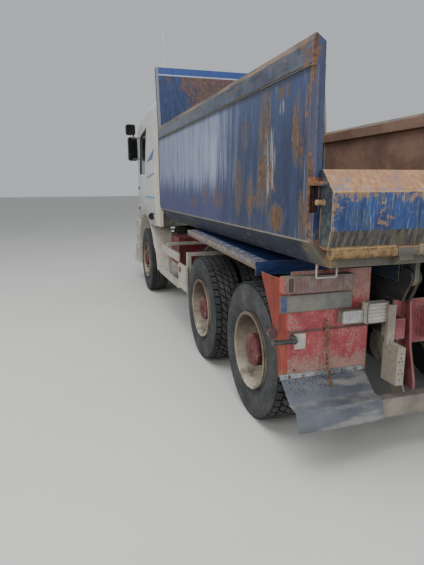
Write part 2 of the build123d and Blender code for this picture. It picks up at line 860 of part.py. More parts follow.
coupling_z = 860
coupling_bolts_y = 160
coupling_bolts_z = 100
coupling_bolt_r = 10.5
tow_low = 700
tow_top = rail_top - 10
tow_t = 16
hanger_y = 528
hanger_w = 56
hanger_top = 1025
kick_low = 505
kick_top = 762
kick_y = 517
kick_w = 60
kick_front = x_stern - 88
kick_back = x_stern - 240
kick_t = 5
hole_r = 6
with BuildPart() as tow_beam:
    with Locations((x_stern - tow_t / 2, 0, (tow_low + tow_top) / 2)):
        Box(tow_t, 2 * 380, tow_top - tow_low)
    with Locations((x_stern - tow_t / 2, 0, (740 + tow_top) / 2)):
        Box(tow_t, 2 * rail_outer, tow_top - 740)
    # Hinge-like gussets at the beam's ends, each with a hanger that carries a folded step
    for side in (1, -1):
        with Locations((x_stern - 60, side * (rail_outer + hanger_y - hanger_w / 2) / 2, 848)):
            Box(120, hanger_y - hanger_w / 2 - rail_outer, 140)
        with Locations((x_stern - 60, side * (rail_outer - 10), 848)):
            Box(120, 20, 140)
        with Locations((x_stern - 124, side * hanger_y, (kick_top - 20 + hanger_top) / 2)):
            Box(30, hanger_w, hanger_top - kick_top + 20)
        with Locations(((kick_front + kick_back) / 2, side * kick_y, (kick_low + kick_top) / 2)):
            Box(kick_front - kick_back, kick_w, kick_top - kick_low)
        with Locations(((kick_front + kick_back) / 2 + 3 * kick_t, side * (kick_y - kick_t),
                        (kick_low + kick_top) / 2 - kick_t)):
            Box(kick_front - kick_back, kick_w, kick_top - kick_low, mode=Mode.SUBTRACT)
        with Locations(((kick_front + kick_back) / 2 - 12, side * kick_y, kick_top)):
            with GridLocations(24, 20, 5, 2):
                Hole(hole_r, depth=2 * kick_t)
        with Locations(Location((kick_back, side * kick_y, (kick_low + kick_top) / 2), (0, -90, 0))):
            with GridLocations(180, 1, 2, 1):
                Hole(hole_r, depth=2 * kick_t)
    with Locations((x_stern - 55, 0, 860)):
        Box(78, 2 * 200, 220)
    # Four bolt holes of the drawbar coupling
    with Locations(Location((x_stern - 94, 0, coupling_z), (0, -90, 0))):
        with GridLocations(coupling_bolts_z, coupling_bolts_y, 2, 2):
            Hole(coupling_bolt_r, depth=60)
    for side in (1, -1):
        with BuildSketch(Plane.XZ.offset(-side * 320)):
            with BuildLine():
                Polyline(
                    (x_stern - tow_t, tow_top),
                    (x_stern - 70, tow_top),
                    (x_stern - 100, tow_low),
                    (bar_front, bar_high + 60),
                    (bar_front, bar_high),
                    (x_stern - 60, bar_high + 2),
                    (x_stern - tow_t, tow_low),
                    close=True,
                )
            make_face()
        extrude(amount=-side * 16)
save(tow_beam.part, "tow_beam")

marker_y = tub_half + 88
marker_foot_y = splash_corner - 22
marker_z = 825
marker_rise = 72
marker_r = 32
tail_lamp = (785, 1280, 1136, 1238)
with BuildPart() as rear_lamps:
    for label, side in sides:
        low_y, high_y, low_z, high_z = tail_lamp
        with Locations((splash_back - 32, side * (low_y + high_y) / 2, (low_z + high_z) / 2)):
            Box(64, high_y - low_y, high_z - low_z)
        # Rubber outrigger with a round marker lamp on its end
        with Locations(Location((x_stern - 64, side * (marker_y + marker_foot_y) / 2, marker_z), (90, 0, 0))):
            Cylinder(16, marker_y - marker_foot_y)
        with Locations((x_stern - 34, side * (marker_foot_y + 12), marker_z)):
            Box(60, 24, 50)
        with Locations(Location((x_stern - 64, side * marker_y, marker_z + marker_rise), (0, 90, 0))):
            Cylinder(marker_r, 36)
        with Locations((x_stern - 64, side * (marker_y - 4), marker_z + marker_rise / 2)):
            Box(24, 16, marker_rise)
        # White reversing lamp
        with Locations((splash_back - 38, side * 780, 948)):
            Box(56, 156, 84)
        with Locations((splash_back - 7, side * 780, 948)):
            Box(14, 60, 40)
save(rear_lamps.part, "rear_lamps")

with BuildPart() as number_plate:
    with Locations((splash_back - 7, 1017, 1054)):
        Box(14, 520, 112)
save(number_plate.part, "number_plate")

with BuildPart() as work_light:
    light_y = splash_in + 3
    light_z = 972
    light_w = 164
    light_h = 138
    with Locations((splash_back - 74, light_y, light_z)):
        Box(60, light_w, light_h)
    # Grooves between the ribs of its lens
    for row in range(-2, 3):
        with Locations((splash_back - 104, light_y, light_z + 24 * row)):
            Box(12, light_w - 24, 8, mode=Mode.SUBTRACT)
    with Locations((splash_back - 22, splash_in + 32, light_z)):
        Box(44, 50, 40)
save(work_light.part, "work_light")

# Hoist: barrel on trunnions and nested stages
stage_wall = 10
stage_gap = 0.4
stage_r = [hoist_r - hoist_wall - stage_gap - i * (stage_wall + stage_gap) for i in range(hoist_stages)]
barrel_top = 1130
head_step = 14
with BuildPart() as hoist_barrel:
    with Locations((hoist_x, 0, (hoist_bottom + barrel_top) / 2)):
        Cylinder(hoist_r, barrel_top - hoist_bottom)
    with Locations((hoist_x, 0, (hoist_bottom + hoist_wall + barrel_top) / 2)):
        Cylinder(hoist_r - hoist_wall, barrel_top - hoist_bottom - hoist_wall, mode=Mode.SUBTRACT)
    trunnion_reach = hoist_cheek_y + hoist_cheek_t + 12
    for side in (1, -1):
        start = hoist_r - hoist_wall / 2
        with Locations(Location((hoist_x, side * (start + trunnion_reach) / 2, hoist_pivot_z), (90, 0, 0))):
            Cylinder(trunnion_r, trunnion_reach - start)
save(hoist_barrel.part, "hoist_barrel")

for number, outer_r in enumerate(stage_r, 1):
    last = number == hoist_stages
    foot = hoist_bottom + hoist_wall + 2 + 2 * number
    head = barrel_top + head_step * number
    with BuildPart() as hoist_stage:
        with Locations((hoist_x, 0, (foot + head) / 2)):
            Cylinder(outer_r, head - foot)
            if not last:
                Cylinder(outer_r - stage_wall, head - foot, mode=Mode.SUBTRACT)
        if last:
            with Locations((hoist_x, 0, (head + hoist_eye_z) / 2)):
                Box(60, 70, hoist_eye_z - head)
            with Locations(Location((hoist_x, 0, hoist_eye_z), (90, 0, 0))):
                Cylinder(38, 70)
                Cylinder(eye_pin_r, 200)
    save(hoist_stage.part, "hoist_stage_" + str(number))

# Tub: chamfered steel trough with boxed top rails and rear posts
chamfer_run = tub_half - tub_floor_half
chamfer_rise = tub_chamfer_z - tub_floor_z
chamfer_len = hypot(chamfer_run, chamfer_rise)
floor_top = tub_floor_z + 115


def chamfer_y(z, inset=0):
    """Half width at height z of the chamfer plane, drawn in by inset."""
    slope = tub_floor_half + (z - tub_floor_z) * chamfer_run / chamfer_rise
    return slope - inset * chamfer_len / chamfer_rise


wall_in = tub_half - tub_wall
inner_knee_z = tub_floor_z + (wall_in - chamfer_y(tub_floor_z, tub_wall)) * chamfer_rise / chamfer_run
rail_out = tub_half + rail_proud
rail_low = tub_top - rail_box_h
cross_ribs = 8
rib_t = 60
with BuildPart() as tub_body:
    with BuildSketch(Plane.YZ.offset(tub_rear)):
        with BuildLine():
            Polyline(
                (0, floor_top),
                (chamfer_y(floor_top, tub_wall), floor_top),
                (wall_in, inner_knee_z),
                (wall_in, rail_low),
                (rail_out - rail_box_w, rail_low),
                (rail_out - rail_box_w, tub_top - rail_fall),
                (rail_out - rail_edge_w, tub_top),
                (rail_out, tub_top - rail_edge_h),
                (rail_out, rail_low),
                (tub_half, rail_low),
                (tub_half, tub_chamfer_z),
                (tub_floor_half, tub_floor_z),
                (chamfer_y(tub_floor_z, tub_wall), tub_floor_z),
                (chamfer_y(floor_top - tub_floor_t, tub_wall), floor_top - tub_floor_t),
                (0, floor_top - tub_floor_t),
                close=True,
            )
        make_face()
        mirror(about=Plane.YZ)
    extrude(amount=tub_length)
    # Cross ribs between the chamfers, under the floor
    for i in range(cross_ribs):
        x = tub_rear + (tub_length - rib_t) * i / (cross_ribs - 1)
        with BuildSketch(Plane.YZ.offset(x)):
            with BuildLine():
                Polyline(
                    (-chamfer_y(floor_top - 5, tub_wall / 2), floor_top - 5),
                    (chamfer_y(floor_top - 5, tub_wall / 2), floor_top - 5),
                    (chamfer_y(tub_floor_z, tub_wall / 2), tub_floor_z),
                    (-chamfer_y(tub_floor_z, tub_wall / 2), tub_floor_z),
                    close=True,
                )
            make_face()
        extrude(amount=rib_t)
    # Rear posts with a bevelled outer corner, a latch pocket in the rear face and a latch plate above it
    pocket_low = 1640
    pocket_high = 1800
    post_foot = tub_floor_half + 17
    for label, side in sides:
        with BuildSketch(Plane.YZ.offset(tub_rear)):
            with BuildLine():
                Polyline(
                    (side * (tub_half - 2), tub_chamfer_z),
                    (side * (tub_half - 2), rail_low + 2),
                    (side * (rail_out - post_w), rail_low + 2),
                    (side * (rail_out - post_w), tub_chamfer_z + 14),
                    (side * post_foot, floor_top + 5),
                    (side * post_foot, floor_top - 5),
                    (side * chamfer_y(floor_top - 5, tub_wall / 2), floor_top - 5),
                    close=True,
                )
            make_face()
        extrude(amount=post_depth)
        with Locations((tub_rear, side * (rail_out - post_w / 2 - 6), (pocket_low + pocket_high) / 2)):
            Box(2 * 60, post_w - 36, pocket_high - pocket_low, mode=Mode.SUBTRACT)
        with BuildSketch(Plane.XY.offset(inner_knee_z)):
            with BuildLine():
                Polyline(
                    (tub_rear - 1, side * (tub_half + 1)),
                    (tub_rear + post_bevel, side * (tub_half + 1)),
                    (tub_rear - 1, side * (tub_half - post_bevel)),
                    close=True,
                )
            make_face()
        extrude(amount=rail_low - inner_knee_z, mode=Mode.SUBTRACT)
        latch_in = gate_half + move_gap
        with Locations((tub_rear + (10 - latch_reach) / 2, side * (latch_in + tub_half) / 2, pocket_high)):
            Box(latch_reach + 10, tub_half - latch_in, latch_t)
    # Sill plate across the rear end and the fixed barrels of the tailgate hinge
    with Locations((tub_rear - 5, 0, (tub_floor_z + 1392) / 2)):
        Box(10, 2 * tub_floor_half, 1392 - tub_floor_z)
    for y in (-fixed_barrel_y, fixed_barrel_y):
        with Locations(Location((gate_axis_x, y, gate_axis_z), (90, 0, 0))):
            Cylinder(gate_barrel_r, barrel_w)
        with Locations(((gate_axis_x + tub_rear) / 2, y, gate_axis_z - 15)):
            Box(tub_rear - gate_axis_x, barrel_w, 40)
        with BuildSketch(Plane.XZ.offset(-y - bracket_w / 2)):
            with BuildLine():
                Polyline(
                    (tub_rear, tub_floor_z + 4),
                    (tub_rear - 40, tub_floor_z + 4),
                    (gate_axis_x - 18, tub_floor_z + 40),
                    (gate_axis_x - 12, gate_axis_z - 30),
                    (tub_rear, gate_axis_z - 30),
                    close=True,
                )
            make_face()
        extrude(amount=bracket_w)
    with Locations(Location((gate_axis_x, 0, gate_axis_z), (90, 0, 0))):
        Cylinder(gate_pin_r, 2 * gate_pin_reach)
save(tub_body.part, "tub_body")

with BuildPart() as tub_front_wall:
    wall_t = 8
    knee_z = tub_top
    with BuildSketch(Plane.XZ.offset(-tub_half)):
        with BuildLine():
            Polyline(
                (tub_front, tub_floor_z),
                (tub_front, knee_z),
                (tub_front + bulkhead_lean, bulkhead_top),
                (tub_front + bulkhead_lean + wall_t, bulkhead_top),
                (tub_front + wall_t, knee_z),
                (tub_front + wall_t, tub_floor_z),
                close=True,
            )
        make_face()
    extrude(amount=2 * tub_half)
    with BuildSketch(Plane.YZ.offset(tub_front - 1)):
        with BuildLine():
            Polyline(
                (tub_half, tub_chamfer_z),
                (tub_half, bulkhead_top),
                (-tub_half, bulkhead_top),
                (-tub_half, tub_chamfer_z),
                (-tub_floor_half, tub_floor_z),
                (tub_floor_half, tub_floor_z),
                close=True,
            )
        make_face()
    extrude(amount=bulkhead_lean + 100, mode=Mode.INTERSECT)
    # Upright stiffeners on the cab side and a post down each edge
    for y in (-tub_half + 30, -620, 0, 620, tub_half - 30):
        with BuildSketch(Plane.XZ.offset(-y - 30)):
            with BuildLine():
                Polyline(
                    (tub_front + wall_t - 1, tub_chamfer_z + 40),
                    (tub_front + wall_t - 1, knee_z),
                    (tub_front + bulkhead_lean + wall_t - 1, bulkhead_top),
                    (tub_front + bulkhead_lean + wall_t + 50, bulkhead_top),
                    (tub_front + wall_t + 50, knee_z),
                    (tub_front + wall_t + 50, tub_chamfer_z + 40),
                    close=True,
                )
            make_face()
        extrude(amount=60)
save(tub_front_wall.part, "tub_front_wall")

with BuildPart() as tub_sills:
    middle = rail_outer - subframe_w / 2
    sill_rear = tip_x + tip_lug_r + 8
    lug_t = hinge_plate_gap - 8
    for label, side in sides:
        with Locations(((sill_rear + subframe_front) / 2, side * middle, tub_floor_z - sill_h / 2)):
            Box(subframe_front - sill_rear, sill_w, sill_h)
        with BuildSketch(Plane.XZ.offset(-side * (middle + lug_t / 2))):
            with Locations((tip_x, (tip_z + tub_floor_z) / 2)):
                Rectangle(2 * tip_lug_r, tub_floor_z - tip_z)
            with Locations((sill_rear - 20, (tip_z + tub_floor_z) / 2 + 20)):
                Rectangle(60, tub_floor_z - tip_z - 40)
            with Locations((tip_x, tip_z)):
                Circle(tip_lug_r)
                Circle(tip_pin_r + bearing_clearance, mode=Mode.SUBTRACT)
        extrude(amount=side * lug_t)
    # Cross box over the hoist, with its two cheeks
    for x in (hoist_x - 150, hoist_x + 150):
        with Locations((x, 0, tub_floor_z - 40)):
            Box(80, 2 * (middle - sill_w / 2), 80)
    # Open saddles that take the rod's cross pin, with room for its drift along the chord
    for side in (1, -1):
        with BuildSketch(Plane.XZ.offset(-side * (cheek_y + cheek_t / 2))):
            with Locations((hoist_x, (cheek_low + tub_floor_z) / 2)):
                Rectangle(220, tub_floor_z - cheek_low)
            with Locations((hoist_x, hoist_eye_z)):
                Circle(eye_pin_r + 4, mode=Mode.SUBTRACT)
            with BuildLine():
                Polyline(
                    (hoist_x + 17, hoist_eye_z - 17),
                    (hoist_x - 17, hoist_eye_z + 17),
                    (hoist_x - 17 - 60, hoist_eye_z + 17 - 75),
                    (hoist_x + 17 - 60, hoist_eye_z - 17 - 75),
                    close=True,
                )
            make_face(mode=Mode.SUBTRACT)
        extrude(amount=cheek_t / 2, both=True)
save(tub_sills.part, "tub_sills")

# Tailgate: bulged box on barrels along its lower edge
barrel_in = fixed_barrel_y - barrel_w / 2 - barrel_gap
barrel_out = fixed_barrel_y + barrel_w / 2 + barrel_gap
gate_barrels = ((-gate_pin_reach, -barrel_out), (-barrel_in, barrel_in), (barrel_out, gate_pin_reach))
with BuildPart() as tailgate:
    with BuildSketch(Plane.XZ.offset(-gate_half)):
        with BuildLine():
            Polyline(
                (tub_rear - 7, gate_top),
                (tub_rear - 20, gate_top),
                (x_back, gate_top - 115),
                (x_back, 1551),
                (gate_axis_x - 22, gate_axis_z + 20),
                (gate_axis_x + 20, gate_axis_z + 20),
                (tub_rear - 7, gate_axis_z + 32),
                close=True,
            )
        make_face()
    extrude(amount=2 * gate_half)
    for y in (-fixed_barrel_y, fixed_barrel_y):
        with Locations(Location((gate_axis_x, y, gate_axis_z), (90, 0, 0))):
            Cylinder(gate_barrel_r + 8, barrel_w + 20, mode=Mode.SUBTRACT)
    for start, end in gate_barrels:
        with Locations(Location((gate_axis_x, (start + end) / 2, gate_axis_z), (90, 0, 0))):
            Cylinder(gate_barrel_r, end - start)
    with Locations(Location((gate_axis_x, 0, gate_axis_z), (90, 0, 0))):
        Cylinder(gate_pin_r + bearing_clearance, 2 * gate_half, mode=Mode.SUBTRACT)
    for side in (1, -1):
        with Locations(Location((tub_rear - 40, side * (gate_half + 24), 1700), (90, 0, 0))):
            Cylinder(15, 50)
save(tailgate.part, "tailgate")

# Cab: side, plan and front outlines crossed with each other
roof_back = 1430
roof_front = (3190, 2790)
screen_foot = (3592, 1850)
side_outline = (
    (cab_back, 3090),
    (roof_back, 3190),
    (1890, 3110),
    (2430, 2985),
    roof_front,
    screen_foot,
    (cab_nose, 1700),
)
front_outline = (
    (cab_half, 1950),
    (cab_half - 62, 2960),
    (cab_half - 170, 3110),
    (0, 3200),
)
cab_mid = 2050
nose_half = 800
nose_bend = (x_front - 120, nose_half + 235)


def plan_y(x):
    """Half width of the cab's side at a place between its middle and the pillar."""
    return pillar_half + (pillar_x - x) * (cab_half - pillar_half) / (pillar_x - cab_mid)


def corners(sketch, *places):
    """Vertices of a sketch nearest to these places in its own plane."""
    return [sketch.vertices().sort_by_distance((*place, 0))[0] for place in places]


def cab_form(inset, drop=0):
    """Closed cab form with every outline drawn in by inset, and its bottom let down by drop."""
    low = cab_bottom - drop
    with BuildPart() as form:
        with BuildSketch(Plane.XZ) as profile:
            with BuildLine():
                Polyline((cab_back, low), *side_outline, (cab_nose, low), close=True)
            make_face()
            fillet(corners(profile.sketch_local, side_outline[0], side_outline[1]), 45)
            fillet(corners(profile.sketch_local, side_outline[3]), 500)
            fillet(corners(profile.sketch_local, roof_front), 60)
            if inset:
                offset(amount=-inset, kind=Kind.INTERSECTION, mode=Mode.REPLACE)
        extrude(amount=2 * cab_half, both=True)
        with BuildSketch(Plane.XY) as plan:
            with BuildLine():
                Line((cab_back, 0), (cab_back, cab_half))
                Line((cab_back, cab_half), (cab_mid, cab_half))
                Line((cab_mid, cab_half), (pillar_x, pillar_half))
                ThreePointArc((pillar_x, pillar_half), nose_bend, (cab_nose, nose_half))
                Line((cab_nose, nose_half), (cab_nose, 0))
                Line((cab_nose, 0), (cab_back, 0))
            make_face()
            fillet(corners(plan.sketch_local, (cab_back, cab_half)), 50)
            mirror(about=Plane.XZ)
            if inset:
                offset(amount=-inset, kind=Kind.INTERSECTION, mode=Mode.REPLACE)
        extrude(amount=4000, mode=Mode.INTERSECT)
        with BuildSketch(Plane.YZ) as front:
            with BuildLine():
                Polyline((cab_half, low), *front_outline, (0, low), close=True)
            make_face()
            fillet(corners(front.sketch_local, front_outline[1], front_outline[2]), 110)
            mirror(about=Plane.YZ)
            if inset:
                offset(amount=-inset, kind=Kind.INTERSECTION, mode=Mode.REPLACE)
        extrude(amount=4000, mode=Mode.INTERSECT)
    return form.part


cab_outer = cab_form(0)
cab_inner = cab_form(cab_wall)
cab_room = cab_form(cab_wall, 2 * cab_wall)
glass_outer = cab_form(cab_wall / 2 - 4)
glass_inner = cab_form(cab_wall / 2 + 4)

door_outline = (
    (cab_mid + 20, cab_bottom + 20),
    (pillar_x, cab_bottom + 20),
    (pillar_x, 1900),
    (3035, 2700),
    (cab_mid + 20, 2860),
)
door_window = (
    (cab_mid + 140, 1990),
    (pillar_x - 130, 1990),
    (3180, 2010),
    (2975, 2620),
    (cab_mid + 140, 2740),
)
screen_outline = ((1000, 1915), (1000, 2150), (940, 2700), (0, 2720))
arch_lip = 40


def side_prism(outline, grow, side):
    """Prism through one side wall, on an outline in side view that is grown by grow."""
    with BuildPart() as prism:
        with BuildSketch(Plane.XZ.offset(-side * 900)):
            with BuildLine():
                Polyline(*outline, close=True)
            make_face()
            if grow:
                offset(amount=grow, kind=Kind.INTERSECTION, mode=Mode.REPLACE)
        extrude(amount=-side * 400)
    return prism.part


def screen_prism(grow):
    """Prism through the front wall on the windscreen's outline."""
    with BuildPart() as prism:
        with BuildSketch(Plane.YZ.offset(2900)):
            with BuildLine():
                Polyline(*screen_outline, (0, 1915), close=True)
            make_face()
            mirror(about=Plane.YZ)
            if grow:
                offset(amount=grow, kind=Kind.INTERSECTION, mode=Mode.REPLACE)
        extrude(amount=900)
    return prism.part


def arch_cylinder(radius):
    """Round cut over the front wheels."""
    with BuildPart() as arch:
        for side in (1, -1):
            with Locations(Location((x_steer, side * 1040, axle_z), (90, 0, 0))):
                Cylinder(radius, 400)
    return arch.part


hinge_x = pillar_x + panel_gap / 2
hinge_y = pillar_half + 15
door_hinge_z = (1400, 1780)
door_hinge_r = 13
door_pin_r = 7
hinge_leaf = 8
tilt_lug_r = 29
grille_low = 1300
grille_pitch = 95
grille_half = 700
grille_slot = 45
grille_depth = 25
side_lamp_r = 40

with BuildPart() as cab_shell:
    add(cab_outer)
    add(cab_inner, mode=Mode.SUBTRACT)
    # Tunnel over the engine and arch liners over the wheels
    with Locations(((cab_back + 40 + 3400) / 2, 0, (cab_bottom + tunnel_top) / 2)):
        Box(3400 - cab_back - 40, 2 * tunnel_half, tunnel_top - cab_bottom)
    add(arch_cylinder(arch_r + arch_lip).intersect(cab_outer))
    with Locations(((cab_back - 50 + 3340) / 2, 0, (cab_bottom - 50 + tunnel_top - 40) / 2)):
        Box(3340 - cab_back + 50, 2 * (tunnel_half - 40), tunnel_top - 40 - cab_bottom + 50,
            mode=Mode.SUBTRACT)
    add(arch_cylinder(arch_r), mode=Mode.SUBTRACT)
    for label, side in sides:
        door_cut = side_prism(door_outline, panel_gap, side) - arch_cylinder(arch_r + arch_lip) - cab_room
        add(door_cut, mode=Mode.SUBTRACT)
    add(screen_prism(0), mode=Mode.SUBTRACT)
    # Air slots in the front, and the round lamps low on the sides
    for row in range(4):
        with Locations((cab_nose, 0, grille_low + row * grille_pitch)):
            Box(2 * grille_depth, 2 * grille_half, grille_slot, mode=Mode.SUBTRACT)
    for side in (1, -1):
        with Locations(Location((cab_back + 75, side * cab_half, cab_bottom + 140), (90, 0, 0))):
            Cylinder(side_lamp_r, 28)
    # Arms down to the tilt pivot
    for side in (1, -1):
        inner = rail_outer - 2 * tilt_bracket_t - 5
        with BuildSketch(Plane.XZ.offset(-side * inner)):
            with BuildLine():
                Polyline(
                    (tilt_x - 40, tilt_z),
                    (tilt_x - 60, cab_bottom + 5),
                    (tilt_x + 10, cab_bottom + 5),
                    (tilt_x + 22, tilt_z + 10),
                    close=True,
                )
            make_face()
            with Locations((tilt_x, tilt_z)):
                Circle(tilt_lug_r)
                Circle(tilt_pin_r + bearing_clearance, mode=Mode.SUBTRACT)
        extrude(amount=-side * tilt_bracket_t)
    # Fixed halves of the door hinges
    for side in (1, -1):
        for z in door_hinge_z:
            with Locations((hinge_x, side * hinge_y, z - 25)):
                Cylinder(door_hinge_r, 50)
            with Locations((hinge_x, side * hinge_y, z)):
                Cylinder(door_pin_r, 100)
            with Locations((hinge_x + 32, side * (hinge_y - 9), z - 25)):
                Box(50, hinge_leaf + 8, 50)
save(cab_shell.part, "cab_shell")

with BuildPart() as windscreen:
    add(glass_outer)
    add(glass_inner, mode=Mode.SUBTRACT)
    add(screen_prism(0), mode=Mode.INTERSECT)
save(windscreen.part, "windscreen")

mirror_x = pillar_x - 75
mirror_in = 1152
mirror_w = 175
mirror_t = 66
upper_mirror = (2700, 2890)
lower_mirror = (2245, 2668)
arm_feet = ((2640, 3020), (2275, 3112))
arm_t = 22
grip = (cab_mid + 150, 1500)
for label, side in sides:
    with BuildPart() as door:
        add(cab_outer)
        add(cab_room, mode=Mode.SUBTRACT)
        add(side_prism(door_outline, 0, side), mode=Mode.INTERSECT)
        add(arch_cylinder(arch_r + arch_lip + panel_gap), mode=Mode.SUBTRACT)
        add(side_prism(door_window, 0, side), mode=Mode.SUBTRACT)
        for z in door_hinge_z:
            with Locations((hinge_x, side * hinge_y, z + 25.5)):
                Cylinder(door_hinge_r, 49)
                Cylinder(door_pin_r + bearing_clearance, 49, mode=Mode.SUBTRACT)
            with Locations((hinge_x - 31, side * (hinge_y - 8), z + 25.5)):
                Box(40, hinge_leaf + 10, 49)
        # Grip
        with Locations((grip[0], side * (plan_y(grip[0]) + 9), grip[1])):
            Box(170, 30, 34)
            Box(120, 12, 60, mode=Mode.SUBTRACT)
    save(door.part, "cab_door_" + label)
    with BuildPart() as door_glass:
        add(glass_outer)
        add(glass_inner, mode=Mode.SUBTRACT)
        add(side_prism(door_window, 0, side), mode=Mode.INTERSECT)
    save(door_glass.part, "door_glass_" + label)
    with BuildPart() as mirror_head:
        for low, high, shift in ((*upper_mirror, 30), (*lower_mirror, 0)):
            with BuildSketch(Plane.YZ.offset(mirror_x - mirror_t / 2)):
                with Locations((side * (mirror_in + shift + mirror_w / 2), (low + high) / 2)):
                    RectangleRounded(mirror_w, high - low, 40)
            extrude(amount=mirror_t)
        for z, foot in arm_feet:
            with BuildSketch(Plane.XY.offset(z - arm_t / 2)):
                with BuildLine():
                    Polyline(
                        (foot - arm_t / 2, side * plan_y(foot - arm_t / 2)),
                        (foot + arm_t / 2, side * plan_y(foot + arm_t / 2)),
                        (mirror_x - mirror_t / 2 + 2, side * (mirror_in + mirror_w / 2)),
                        (mirror_x - mirror_t / 2 + 2, side * (mirror_in + mirror_w / 2 + arm_t)),
                        close=True,
                    )
                make_face()
            extrude(amount=arm_t)
        with Locations((mirror_x, side * (mirror_in + 60), (upper_mirror[0] + lower_mirror[1]) / 2)):
            Box(arm_t, arm_t, upper_mirror[0] - lower_mirror[1] + 4)
    save(mirror_head.part, "mirror_" + label)

panel_t = 36
with BuildPart() as front_panel:
    with BuildSketch(Plane.YZ.offset(cab_nose - panel_t)):
        with Locations((0, (790 + cab_bottom) / 2)):
            Rectangle(2 * 900, cab_bottom - 790)
        with GridLocations(0, 70, 1, 4):
            with Locations((0, 985)):
                Rectangle(1300, 40, mode=Mode.SUBTRACT)
    extrude(amount=panel_t)
save(front_panel.part, "front_panel")

seat_x = x_steer + 45
seat_y = 690
liner_top = axle_z + arch_r + arch_lip
with BuildPart() as cab_interior:
    for side in (1, -1):
        with Locations((seat_x, side * seat_y, liner_top + pin_clearance + 130)):
            Box(520, 480, 260)
        with Locations((seat_x - 200, side * seat_y, liner_top + pin_clearance + 260 + 280)):
            Box(130, 460, 560)
    with Locations((cab_nose - 220, 0, screen_foot[1] - 130)):
        Box(440, 1900, 260)
    with Locations((cab_back + 310, 0, tunnel_top + pin_clearance + 95)):
        Box(480, 2100, 190)
    add(cab_inner, mode=Mode.INTERSECT)
save(cab_interior.part, "cab_interior")

fairing_len = 380
fairing_t = 50
fairing_h = 1600
visor_half = 930
visor_run = 170
visor_t = 12
screen_lean = (screen_foot[0] - roof_front[0]) / (roof_front[1] - screen_foot[1])
visor_root = (30, 46)
aerial_x = 1700
aerial_y = 940
aerial_h = 1000
roof_edge_y, roof_edge_z = front_outline[2]
aerial_z = roof_edge_z + (roof_edge_y - aerial_y) * (front_outline[3][1] - roof_edge_z) / roof_edge_y + 1.5
with BuildPart() as cab_fairings:
    for side in (1, -1):
        with Locations((cab_back - fairing_len / 2, side * (cab_half - fairing_t / 2),
                        cab_bottom + 20 + fairing_h / 2)):
            Box(fairing_len, fairing_t, fairing_h)
    # Whip aerial on the roof
    with Locations((aerial_x, aerial_y, aerial_z + 20)):
        Cylinder(16, 40)
    with Locations((aerial_x, aerial_y, aerial_z + aerial_h / 2)):
        Cylinder(4, aerial_h)
    # Sun visor over the windscreen
    with BuildSketch(Plane.XZ.offset(-visor_half)):
        with BuildLine():
            Polyline(
                (roof_front[0] + visor_root[0] * screen_lean, roof_front[1] - visor_root[0]),
                (roof_front[0] + visor_run, roof_front[1] - 74),
                (roof_front[0] + visor_run, roof_front[1] - 74 - visor_t),
                (roof_front[0] + visor_root[1] * screen_lean, roof_front[1] - visor_root[1]),
                close=True,
            )
        make_face()
    extrude(amount=2 * visor_half)
save(cab_fairings.part, "cab_fairings")
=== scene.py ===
"""Looks of a weathered three-axle dump truck, worked out around its fixed frame.

Metres. X runs forward, Y to the left and Z up, as in the frame. Every finished piece sits at the origin,
with its place in its mesh.
"""

import json
from math import cos, pi, radians, sin

import bmesh
import bpy
import numpy as np
from mathutils import Matrix, Vector
from mathutils.bvhtree import BVHTree


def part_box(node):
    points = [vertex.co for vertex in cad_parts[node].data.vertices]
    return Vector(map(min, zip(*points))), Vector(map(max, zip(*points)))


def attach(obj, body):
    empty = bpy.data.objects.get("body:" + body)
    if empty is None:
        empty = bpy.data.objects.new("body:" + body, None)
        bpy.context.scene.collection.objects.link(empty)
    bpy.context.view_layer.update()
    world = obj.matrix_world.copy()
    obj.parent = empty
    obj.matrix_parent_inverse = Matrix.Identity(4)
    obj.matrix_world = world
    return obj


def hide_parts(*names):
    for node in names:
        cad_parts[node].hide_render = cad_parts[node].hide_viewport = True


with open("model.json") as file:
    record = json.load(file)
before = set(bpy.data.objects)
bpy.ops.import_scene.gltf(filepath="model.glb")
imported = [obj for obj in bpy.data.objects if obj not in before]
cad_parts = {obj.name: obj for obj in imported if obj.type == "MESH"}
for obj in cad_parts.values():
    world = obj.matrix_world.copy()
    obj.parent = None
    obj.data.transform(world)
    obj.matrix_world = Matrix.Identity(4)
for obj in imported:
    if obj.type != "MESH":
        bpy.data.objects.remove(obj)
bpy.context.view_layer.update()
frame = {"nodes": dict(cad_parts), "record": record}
node_body = {node: body for body, nodes in frame["record"]["behaviour"]["bodies"].items() for node in nodes}


def middle(node):
    """Middle of a CAD node's box."""
    low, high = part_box(node)
    return (low + high) / 2


# Wheels, which stand on Z = 0
front_x, front_y, axle_z = middle("front_tyre_left")
drive_x = {place: middle("twin_tyres_%s_left" % place).x for place in ("front", "rear")}
axles_x = (front_x, *drive_x.values())
twin_y = (0.743, 1.088)
tyre_r = axle_z
hub_red_r = 0.142

# Tub wall, rear posts, tandem fenders and the number plate inside its holder
knee_z = 1.486
rail_low = 2.400
post_front_x = -3.445
post_rear_x = -3.522
fender_y = 1.200
fender_z = 1.3455
fender_slope = 0.0316
plate_y, plate_z = middle("number_plate")[1:]
plate_half_y = 0.254
plate_half_z = 0.050

# Camera at the photograph's viewing angle
eye = (-5.831, 2.536, 1.792)
yaw = radians(17.36)
pitch = radians(11.69)
roll = radians(-0.26)
focal_px = 469.28
photo_h = 565
film = 36


